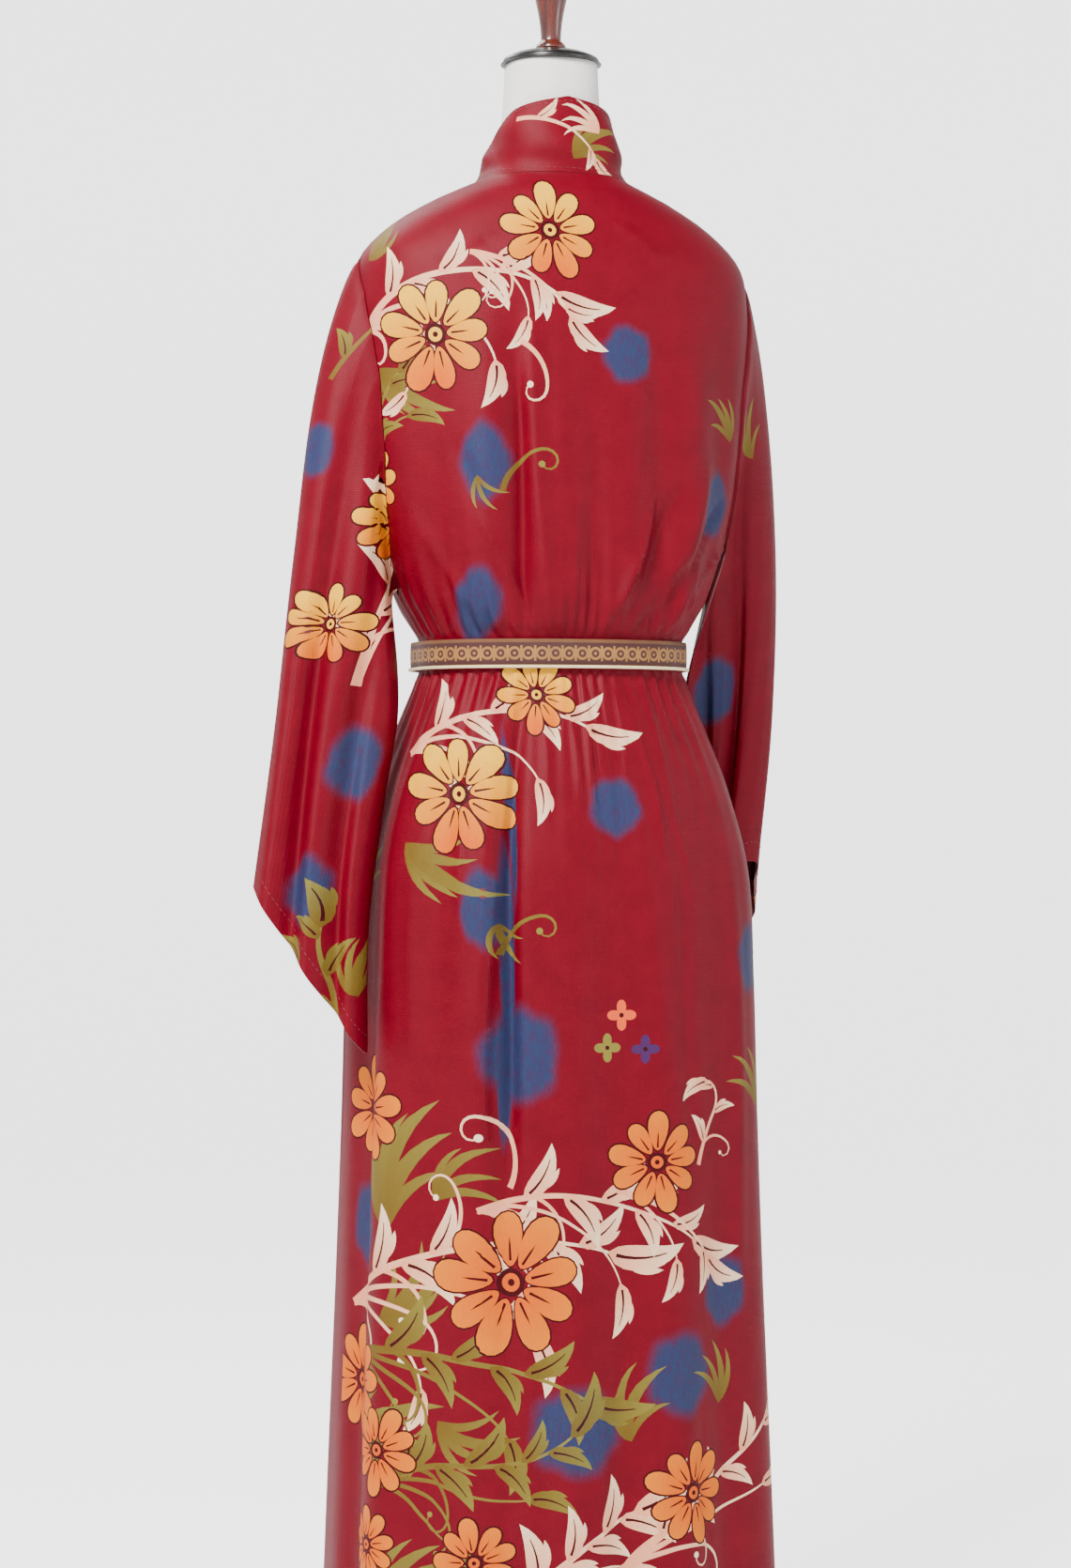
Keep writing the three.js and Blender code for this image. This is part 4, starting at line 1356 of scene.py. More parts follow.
@dataclass(frozen=True)
class Plain:
    """A finish with one main colour, a second one in threads, pores or scuffs, and relief."""
    name: str
    colour: Colour
    second: Colour
    roughness: float
    coat: float = 0.0
    sheen: float = 0.15

    def cloth(self, finishes: Finishes, count: float, relief: float, flat: bool = False) -> Material:
        """A plain woven cloth.

        Args:
            finishes: the shared shader groups.
            count: its threads per metre.
            relief: the height of its threads in metres.
            flat: true to lay the threads on the piece's own cloth, where they show less.

        Returns:
            The material.
        """
        material, nodes, shader = finishes.start(
            self.name, Roughness=self.roughness, Sheen_Weight=self.sheen)
        laid = nodes.cloth() if flat else nodes.add("ShaderNodeMapping", {
            "Vector": nodes.place(), "Rotation": (math.radians(90), 0, 0)}).outputs[0]
        threads = finishes.threads(nodes, laid, count)
        colour = nodes.blend(threads.outputs["Slub"], self.second, self.colour)
        nodes.feed(shader, {"Base Color": colour})
        nodes.relief(shader, threads.outputs["Height"], 0.2 if flat else 0.5, relief)
        return material

    def wood(self, finishes: Finishes, scale: float) -> Material:
        """A polished wood, with its grain's scale."""
        material, nodes, shader = finishes.start(self.name, Coat_Weight=self.coat, Coat_Roughness=0.12)
        place = nodes.place()
        grain = nodes.add("ShaderNodeGroup", {"Place": place, "Scale": scale}, node_tree=finishes.grain)
        colour = nodes.blend(grain.outputs["Figure"], self.second, self.colour)
        pores = grain.outputs["Pores"]
        colour = nodes.blend(nodes.math("MULTIPLY", pores, 0.35), colour, self.second)
        rough = nodes.math("ADD", self.roughness, nodes.math("MULTIPLY", pores, 0.12))
        nodes.feed(shader, {"Base Color": colour, "Roughness": rough})
        nodes.relief(shader, pores, 0.15, 0.0003)
        return material

    def lacquer(self, finishes: Finishes) -> Material:
        """A lacquered hard finish with faint scuffs."""
        material, nodes, shader = finishes.start(self.name, Coat_Weight=self.coat, Coat_Roughness=0.2)
        place = nodes.place()
        scuffs = nodes.add("ShaderNodeTexNoise", {"Vector": place, "Scale": 70.0, "Detail": 6.0})
        mask = nodes.steps(scuffs.outputs[0], (0.45, 0.0), (0.75, 1.0))
        nodes.feed(shader, {
            "Base Color": nodes.blend(mask, self.colour, self.second),
            "Roughness": nodes.math("ADD", self.roughness, nodes.math("MULTIPLY", mask, 0.15))})
        return material


class Palette:
    """Every material, built once."""

    def __init__(self) -> None:
        """Builds the materials."""
        finishes = Finishes(weave_group(), grain_group())
        self.satin, self.sash = Satin().face(finishes), Sash().material(finishes)
        reverse = Plain("satin_reverse", srgb(112, 14, 30), srgb(92, 6, 20), 0.62, sheen=0.2)
        self.reverse = reverse.cloth(finishes, 900, 0.0005, True)
        cord = Plain("cream_cord", srgb(250, 234, 186), srgb(226, 196, 140), 0.5)
        thread = Plain("sewing_thread", srgb(120, 20, 38), srgb(96, 14, 30), 0.5)
        linen = Plain("form_linen", srgb(246, 243, 238), srgb(232, 228, 220), 0.85)
        lacquer = Plain("black_lacquer", srgb(16, 13, 13), srgb(34, 30, 29), 0.3, 0.6)
        wood = Plain("turned_mahogany", srgb(112, 40, 24), srgb(58, 16, 10), 0.26, 0.7)
        floor = Plain("pale_floor", srgb(252, 252, 252), srgb(248, 248, 248), 0.95)
        self.piping = cord.cloth(finishes, 900, 0.0004)
        self.thread = thread.cloth(finishes, 2500, 0.0001)
        self.linen = linen.cloth(finishes, 800, 0.0003)
        self.lacquer, self.floor = lacquer.lacquer(finishes), floor.lacquer(finishes)
        self.wood = wood.wood(finishes, 60.0)
        nodes = Nodes(self.floor.node_tree)
        seen = nodes.add("ShaderNodeLightPath").outputs["Is Camera Ray"]
        glow = nodes.math("ADD", FLOOR_GLOW, nodes.math("MULTIPLY", seen, FLOOR_SEEN))
        nodes.feed(self.floor.node_tree.nodes["Principled BSDF"],
                   {"Emission Color": (1, 1, 1), "Emission Strength": glow})


# ---- Making meshes ----

def grid_mesh(name: str, points: Array, material: Material, closed: bool = False,
              caps: bool = False, ring: bool = False, flat: Array | None = None) -> Piece:
    """A smooth mesh from rows and columns of points, with its faces turned outwards.

    Args:
        name: the piece's name.
        points: rows and columns of points in millimetres.
        material: its material.
        closed: true where the last column joins the first one.
        caps: true to close the first and last row with a fan.
        ring: true where the last row joins the first one.
        flat: flat places for the UV map, with one more column where closed and one more row for a ring.

    Returns:
        The piece.
    """
    rows, columns = points.shape[:2]
    spans = np.arange(columns if closed else columns - 1)
    levels = np.arange(rows if ring else rows - 1)
    i, j = (axis.ravel() for axis in np.meshgrid(levels, spans, indexing="ij"))
    low, high, after = i * columns, (i + 1) % rows * columns, (j + 1) % columns
    faces = np.stack([low + j, low + after, high + after, high + j], -1).tolist()
    verts = points.reshape(-1, 3)
    if caps:
        middles = np.stack([points[0].mean(0), points[-1].mean(0)])
        low, high, top = rows * columns, rows * columns + 1, (rows - 1) * columns
        verts = np.concatenate([verts, middles])
        faces += [(low, (k + 1) % columns, k) for k in range(columns)]
        faces += [(high, top + k, top + (k + 1) % columns) for k in range(columns)]
    mesh = bpy.data.meshes.new(name)
    mesh.from_pydata((verts * MM).tolist(), [], faces)
    mesh.polygons.foreach_set("use_smooth", np.ones(len(faces), bool))
    mesh.materials.append(material)
    layer = mesh.uv_layers.new(name="cloth")
    if flat is not None:
        corners = np.stack([flat[i, j], flat[i, j + 1], flat[i + 1, j + 1], flat[i + 1, j]], 1) * MM
        values = np.zeros((len(mesh.loops), 2), np.float32)
        values[:len(corners) * 4] = corners.reshape(-1, 2)
        layer.data.foreach_set("uv", values.reshape(-1))
    work = bmesh.new()
    work.from_mesh(mesh)
    bmesh.ops.recalc_face_normals(work, faces=work.faces)
    if work.calc_volume(signed=True) < 0:
        bmesh.ops.reverse_faces(work, faces=work.faces)
    work.to_mesh(mesh)
    work.free()
    return linked(name, mesh)


def settle(piece: Piece, slot: str, *nodes: str) -> None:
    """Ties a piece to the body and hides the nodes that it stands for.

    Args:
        piece: the piece.
        slot: the record's material slot; not used.
        nodes: the nodes that it replaces.
    """
    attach(piece, "root")
    if nodes:
        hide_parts(*nodes)


# ---- The garment ----

# The prints, in millimetres of flat cloth: across from the panel's middle, or on a sleeve from its
# outer fold, and up from the floor. The back's scrolls rise from its left edge.
BACK_PRINT = Print(
    plumes=(
        (-196, 1300, 84, -36, 30), (-206, 1400, 60, 60, 40), (-176, 868, 96, -34, 30),
        (-100, 1200, 44, -70, 40, 3), (-92, 796, 44, -70, 40, 3), (-196, 520, 140, 84, -46, 6),
        (-150, 548, 84, 40, -46, 4), (-206, 440, 96, 34, 40), (-246, 300, 120, 42, -40),
        (-150, 352, 84, -30, 40, 4), (30, 330, 84, 88, -50, 4), (128, 356, 70, 100, 40, 4),
        (-210, 168, 120, 44, -40), (80, 120, 110, 60, -40), (170, 1240, 60, 120, 40, 4),
        (190, 620, 80, 110, 40, 4), (-252, 820, 70, 70, -40, 4)),
    sprays=(
        (-214, 1330, 56, 215, -50, -46, 8, 6, 44, 1, 5),
        (-104, 1404, -6, 116, -30, -34, 5, 3, 36, 1, 4),
        (-222, 1180, 84, 130, -16, -30, 7, 4, 36, 0, 2, Ink.OLIVE),
        (-176, 948, 40, 190, -34, -40, 7, 5, 42, 1, 4), (-268, 446, 36, 300, -26, -34, 8, 7, 54, 2, 5),
        (-110, 540, 22, 214, -36, -24, 6, 5, 48, 1, 5), (16, 556, -14, 120, -24, -16, 5, 2, 40, 0, 2),
        (-250, 408, 8, 250, -18, -24, 8, 6, 50, 1, 4, Ink.OLIVE),
        (-216, 292, 26, 200, -28, 50, 7, 6, 46, 1, 4, Ink.OLIVE),
        (-80, 176, 58, 150, -22, -18, 8, 6, 50, 1, 4), (20, 214, 48, 230, -22, 30, 8, 6, 42, 1, 3),
        (100, 575, 72, 92, -16, 150, 5, 3, 28, 1, 1),
        (-150, 96, 34, 190, -20, -20, 7, 6, 46, 1, 3, Ink.OLIVE)),
    curls=(
        (-78, 1186, 78, 96, -60, -290, 5, Ink.MOSS, Ink.OLIVE, True),
        (-92, 768, 74, 96, -60, -290, 5, Ink.MOSS, Ink.OLIVE, True),
        (-84, 560, 66, 120, 70, 280, 6, Ink.PINK, Ink.CREAM, True),
        (-60, 1322, -30, 90, -60, -270, 5, Ink.PINK, Ink.CREAM, True)),
    flowers=(
        (-28, 1426, 45, 12, True), (-139, 1328, 52, 4, True), (-216, 1196, 36, 10, True),
        (-44, 1002, 35, 20, True), (-120, 912, 53, 8, True), (54, 580, 44, 6), (-83, 476, 65, 14),
        (86, 281, 45, 2), (-116, 228, 38, 18), (-230, 626, 46, 9), (-254, 378, 48, 5),
        (-208, 322, 40, 21), (-222, 236, 34, 12), (-34, 116, 46, 7), (170, 150, 46, 16),
        (-200, 70, 44, 3)),
    florets=((22, 713, 14, Ink.SALMON), (8, 684, 13, Ink.OLIVE), (44, 682, 13, Ink.SLATE)),
    blooms=(
        (41, 1313, 26, 28), (-94, 1212, 24, 38, 4), (-100, 1084, 24, 36, 4), (20, 900, 26, 28),
        (-102, 810, 20, 38, 4), (-72, 678, 36, 46), (-25, 342, 44, 42), (76, 388, 36, 40),
        # The three narrow blooms at -78, -86 and -89 follow the lapped pleat: a dark blue streak of painted
        # shade in its recess, not blossoms.
        (134, 458, 28, 34), (-78, 890, 5, 80, 2), (-86, 770, 7, 100, 2), (-89, 660, 6, 70, 2),
        (-244, 520, 24, 40), (150, 1180, 24, 32), (180, 760, 26, 34)))
LEFT_FRONT_PRINT = Print(
    plumes=(
        (-40, 240, 110, 70, -40), (90, 420, 90, 110, 40), (-20, 700, 90, 60, -40),
        (100, 800, 84, 100, 40), (120, 1220, 70, 110, 40, 4)),
    sprays=(
        (-120, 160, 62, 250, -24, -30, 10, 6, 48, 2, 3),
        (40, 130, 84, 220, 22, 30, 8, 5, 44, 1, 2, Ink.OLIVE),
        (-60, 540, 58, 230, -26, -24, 9, 5, 46, 1, 3),
        (60, 470, 100, 160, 20, 40, 7, 4, 42, 1, 2, Ink.OLIVE),
        (10, 820, 70, 170, -20, -26, 8, 4, 42, 1), (40, 1100, 76, 200, -16, -26, 8, 5, 40, 1, 3)),
    flowers=(
        (-70, 330, 58, 8), (80, 260, 46, 15), (40, 640, 54, 4), (-50, 760, 44, 12, True),
        (120, 880, 46, 6, True), (90, 1290, 46, 10, True), (150, 470, 42, 3), (160, 120, 44, 9)),
    florets=((-20, 930, 13, Ink.SALMON), (4, 955, 12, Ink.OLIVE), (150, 700, 13, Ink.SLATE)),
    blooms=(
        (-10, 430, 40, 44), (120, 380, 32, 40), (-90, 640, 26, 34), (60, 980, 26, 34),
        (130, 1210, 24, 32), (10, 80, 36, 34)))
RIGHT_FRONT_PRINT = Print(
    plumes=((-140, 240, 110, 100, 40), (-90, 640, 90, 110, -40), (-150, 780, 84, 80, 40)),
    sprays=(
        (-60, 160, 100, 230, 20, 30, 9, 6, 46, 2, 3),
        (-150, 120, 78, 220, -24, -20, 8, 5, 44, 1, 2, Ink.OLIVE),
        (-130, 540, 66, 210, -20, -30, 8, 5, 44, 1, 3),
        (-90, 820, 96, 150, 22, 24, 7, 4, 40, 1, 2, Ink.OLIVE),
        (-110, 1110, 84, 180, 14, 26, 8, 4, 40, 1)),
    flowers=(
        (-110, 320, 54, 12), (-170, 470, 44, 3), (-120, 700, 50, 7), (-150, 930, 44, 15, True),
        (-80, 1270, 44, 5, True), (-60, 90, 44, 10)),
    florets=((-100, 1050, 13, Ink.SALMON),),
    blooms=((-70, 450, 34, 42), (-180, 610, 26, 36), (-110, 1190, 24, 34), (-60, 1010, 22, 30)))
LEFT_SLEEVE_PRINT = Print(
    plumes=((60, 1330, 60, 80, 40, 4), (110, 730, 70, 96, -40, 4), (-80, 1220, 70, 70, 40, 4)),
    sprays=(
        (72, 1010, 84, 150, -10, 30, 7, 4, 42, 1, 2),
        (96, 690, 96, 110, 16, -30, 6, 3, 36, 0, 2, Ink.OLIVE),
        (-70, 880, 96, 190, 14, 26, 8, 5, 42, 1, 3),
        (24, 1290, 70, 90, -12, 20, 5, 3, 32, 0, 1, Ink.OLIVE)),
    flowers=(
        (46, 1066, 36, 6, True), (92, 1160, 36, 12, True), (-60, 1150, 46, 3), (-90, 790, 44, 10)),
    blooms=((22, 1225, 16, 28, 4), (80, 940, 22, 36, 4), (56, 826, 20, 34, 4), (-60, 990, 26, 34)))
RIGHT_SLEEVE_PRINT = Print(
    plumes=((-40, 1230, 60, 110, -40, 4), (60, 1040, 70, 80, 40, 4)),
    sprays=((-40, 700, 92, 120, 16, 30, 6, 3, 36, 0), (60, 860, 90, 150, -16, 24, 7, 4, 40, 1)),
    flowers=((-62, 830, 26, 4), (70, 1130, 42, 8, True), (60, 800, 38, 12)),
    blooms=((-60, 1010, 24, 34), (40, 960, 26, 34)))


def band_print(half: float) -> Print:
    """The neckband's print.

    Args:
        half: the length of half the band, from hem to the centre back.

    Returns:
        The print. Flat places run up from the right hem, over the neck and down to the left hem.
    """
    plumes = [(12, half - 6, 64, -50, -40, 5), (40, half - 34, 52, 60, 40, 4, 62, Ink.PINK, Ink.CREAM),
              (20, half + 120, 60, 60, 40, 4)]
    sprays, flowers = [(56, half + 50, -96, 96, -20, -50, 5, 2, 26, 0, 1)], []
    for k, place in enumerate((150, 400, 660, 900, 1130)):
        odd = k % 2
        for y in (half - 1560 + place, half + 1560 - place):
            plumes.append((30, y - 40, 60, 80 - 20 * odd, 40, 4))
            sprays.append((20 + 6 * odd, y, 86, 120, 14 - 8 * odd, 20, 6, 4, 34, 1, 2,
                           Ink.CREAM if odd else Ink.OLIVE))
            flowers.append((38, y + 128, 30, 9 * k, k > 2))
    blooms = ((40, half - 170, 18, 30, 4), (36, half + 260, 18, 30, 4))
    return Print(plumes=plumes, sprays=sprays, flowers=flowers, blooms=blooms)


LEFT_SLEEVE = Table((
    "at", "outer_x", "outer_y", "outer_z", "inner_x", "inner_y", "inner_z", "depth", "fold"), (
    (0, 183, 0, 1404, 147, 0, 1099, 40, 0), (0.25, 226, 4, 1290, 149, 20, 1012, 34, 4),
    (0.5, 249, 10, 1130, 172, 42, 905, 28, 7), (0.75, 268, 18, 975, 192, 60, 790, 25, 9),
    (1, 290, 26, 829, 196, 72, 679, 26, 9)))
RIGHT_SLEEVE = Table(LEFT_SLEEVE.columns, (
    (0, -183, 0, 1404, -147, 0, 1099, 40, 0), (0.25, -217, -8, 1290, -141, -36, 1015, 36, 3),
    (0.5, -233, -24, 1135, -163, -74, 920, 29, 5), (0.75, -232, -42, 985, -186, -108, 815, 27, 7),
    (1, -220, -56, 846, -186, -128, 700, 29, 7)))


@dataclass
class Sleeve:
    """One wide sleeve that hangs from its armhole."""
    table: Table
    side: int
    rows: int = 120
    columns: int = 132
    waves: float = 2.5
    fine_waves: float = 5.2
    fine_depth: float = 1.5
    settled: float = 0.36

    def armhole_point(self, turn: Array) -> Array:
        """Points of the sleeve's seam in the armhole.

        Args:
            turn: places round the sleeve, in radians from the underarm.

        Returns:
            The points.
        """
        z = mix(UNDERARM_Z + 5, SHOULDER_Z - 5, (1 - np.cos(turn)) / 2)
        aside = np.sign(np.round(np.sin(turn), 9)) * np.maximum(armhole_half(z) - 2 * SEAM_GAP, 0.2)
        angle = np.degrees(aside / ROBE_RINGS.at(z, "side"))
        return SURFACE.point(angle if self.side > 0 else 180 - angle, z)

    def point(self, at: Array, turn: Array) -> Array:
        """Points of the sleeve.

        Args:
            at: places along it, from 0 at the armhole to 1 at the cuff.
            turn: places round it, in radians from the underarm.

        Returns:
            The points.
        """
        inner = np.stack([self.table.at(at, "inner_" + axis) for axis in "xyz"], -1)
        outer = np.stack([self.table.at(at, "outer_" + axis) for axis in "xyz"], -1)
        across = outer - inner
        back = unit(np.stack([-across[..., 1], across[..., 0], np.zeros_like(at)], -1) * self.side)
        share = (1 - np.cos(turn)) / 2
        round_off = np.sqrt(np.clip(share * (1 - share), 0, None)) * 2
        fullness = np.sign(np.round(np.sin(turn), 9)) * np.abs(np.sin(turn)) ** 0.75
        wave = self.table.at(at, "fold") * np.sin(self.waves * 2 * math.pi * share + 0.6) * round_off
        ripple = np.sin(self.fine_waves * 2 * math.pi * share + 2.2 * at + 1.0)
        fine = self.fine_depth * ripple * round_off * smooth(0.1, 0.6, at)
        offset = self.table.at(at, "depth") * fullness + wave + fine
        hanging = inner + across * share[..., None] + back * offset[..., None]
        start = self.armhole_point(turn) + np.stack([self.side * 70 * at, 0 * at, -40 * at], -1)
        return mix(start, hanging, smooth(0, self.settled, at)[..., None])

    def panel(self) -> Panel:
        """The sleeve's cloth. It is cut open along the underarm and spread from its outer fold."""
        turn = np.linspace(0, 2 * math.pi, self.columns + 1)
        at, turn = np.meshgrid(np.linspace(0, 1, self.rows), turn, indexing="ij")
        points = self.point(at, turn)
        step, reach = 0.012, 0.004
        round_step = self.point(at, turn + step) - self.point(at, turn - step)
        down_step = self.point(np.minimum(at + reach, 1), turn) - self.point(np.maximum(at - reach, 0), turn)
        normals = unit(np.cross(round_step, down_step) * self.side)
        fold = self.point(np.linspace(0, 1, 60), np.full(60, math.pi))[::-1]
        height = points[..., 2]
        slope = (fold[1] - fold[0]) / (fold[1, 2] - fold[0, 2])
        below = np.minimum(height - fold[0, 2], 0)
        fold_x = np.interp(height, fold[:, 2], fold[:, 0]) + below * slope[0]
        fold_y = np.interp(height, fold[:, 2], fold[:, 1]) + below * slope[1]
        spread = np.hypot(points[..., 0] - fold_x, points[..., 1] - fold_y)
        sign = np.where(turn <= math.pi, 1.0, -1.0) * self.side
        return Panel(np.stack([sign * spread, height], -1), points, normals, closed=True)


@dataclass
class Neckband:
    """The doubled band round the neck and down both front edges."""
    width: float = 70.0
    columns: int = 18
    neck_steps: int = 60
    thickness: float = 1.5
    collar_fold: float = 2.2
    collar: tuple[float, float] = (1486.0, 1506.0)
    pillow: float = 0.5

    def stations(self) -> tuple[Array, Array, Array, Array]:
        """Where the left half's edges lie, from the centre back to the hem.

        Returns:
            The seam's angles and heights, then the free edge's, as columns.
        """
        angle = np.linspace(90, -19, self.neck_steps + 1)
        z = panel_heights()[::-1][1:]
        reach = -FRONT_REACH.straight(z, "angle")
        beyond = np.degrees(SEAM_GAP * 1.3 / SURFACE.ring_radius(reach, z))
        columns = ((angle, reach - beyond), (np.full_like(angle, NECKLINE_Z + SEAM_GAP), z),
                   (BAND_NECK.at(angle, "free_angle"), BAND_FALL.at(z, "free_angle")),
                   (BAND_NECK.at(angle, "free_z"), BAND_FALL.at(z, "free_z")))
        return tuple(np.concatenate(column)[:, None] for column in columns)

    def half(self, side: int) -> tuple[Array, Array]:
        """Half of the band.

        Args:
            side: 1 for the left half and -1 for the right one.

        Returns:
            Points and normals, a row for each station.
        """
        seam_angle, seam_z, free_angle, free_z = self.stations()
        share = np.linspace(0, 1, self.columns + 1)[None, :]
        turn, z = mix(seam_angle, free_angle, share), mix(seam_z, free_z, share)
        angle = turn if side > 0 else 180 - turn
        lift = overlap_lift(angle) if side > 0 else no_lift(angle)
        normal = SURFACE.normal(angle, z)
        pillow = self.pillow * np.sin(math.pi * share) ** 0.6
        slope = np.radians(4.2 * (angle - 90)) + z / 13.0 + 0.8 * np.sin(np.radians(angle) * 3)
        collar = self.collar_fold * smooth(*self.collar, z) * np.sin(math.pi * share) ** 0.7
        off = (BAND_PROUD + pillow + collar * (np.sin(slope) + 1))[..., None]
        return SURFACE.point(angle, z, lift) + normal * off, normal

    def panel(self) -> Panel:
        """The whole band, from the right hem over the neck to the left hem."""
        (left, left_normal), (right, right_normal) = self.half(1), self.half(-1)
        points = np.concatenate([right[::-1], left[1:]])
        normals = np.concatenate([right_normal[::-1], left_normal[1:]])
        own = unit(np.cross(np.gradient(points, axis=1), np.gradient(points, axis=0)))
        normals = own * np.sign(np.sum(own * normals, axis=-1, keepdims=True))
        steps = np.linalg.norm(np.diff(points[:, self.columns // 2], axis=0), axis=-1)
        along = np.concatenate([[0], np.cumsum(steps)])
        across = np.linspace(0, self.width, self.columns + 1)
        flat = np.stack(np.broadcast_arrays(across[None, :], along[:, None]), -1)
        return Panel(flat, points, normals)


@dataclass
class Garment:
    """The robe: back, two fronts, two sleeves and the neckband."""
    palette: Palette
    back_columns: int = 132
    front_columns: int = 84
    declared: list[tuple] = field(default_factory=list)

    def build(self) -> None:
        """Builds, declares and reports every piece of the robe."""
        fronts = FRONT_REACH
        back = body_panel(90, self.back_columns, side_edge, lambda z: 180 - side_edge(z), no_lift)
        left = body_panel(-90, self.front_columns, lambda z: -fronts.straight(z, "angle"),
                          lambda z: -side_edge(z), overlap_lift)
        right = body_panel(-90, self.front_columns, lambda z: -180 + side_edge(z),
                           lambda z: -180 + fronts.straight(z, "angle"), no_lift)
        for name, panel, pattern, node, under in (
                ("robe_back", back, BACK_PRINT, "back_panel", "form_torso"),
                ("robe_front_left", left, LEFT_FRONT_PRINT, "front_left", "robe_front_right"),
                ("robe_front_right", right, RIGHT_FRONT_PRINT, "front_right", "form_torso")):
            self.piece(name, panel, pattern, node, "gathered", [under])
        for name, table, side, pattern in (
                ("left", LEFT_SLEEVE, 1, LEFT_SLEEVE_PRINT),
                ("right", RIGHT_SLEEVE, -1, RIGHT_SLEEVE_PRINT)):
            self.piece(f"robe_sleeve_{name}", Sleeve(table, side).panel(), pattern, f"sleeve_{name}",
                       "hung", ["robe_back"])
        band = Neckband()
        panel = band.panel()
        half = float(panel.flat[:, :, 1].max()) / 2
        self.piece("robe_neckband", panel, band_print(half), "neckband", "draped", ["form_torso"],
                   band.thickness)

    def piece(self, name: str, panel: Panel, pattern: Print, node: str, held: str,
              rests_on: list[str], thickness: float = CLOTH) -> None:
        """Builds one piece of cloth.

        Args:
            name: the piece's name.
            panel: its cloth.
            pattern: its print.
            node: the node that it stands for.
            held: how it hangs.
            rests_on: what it hangs from or lies on.
            thickness: its wall.
        """
        made = Printer(panel, pattern, thickness).build(name, self.palette.satin, self.palette.reverse)
        settle(made, "printed_satin", node)
        self.declared.append((made, panel, held, rests_on))


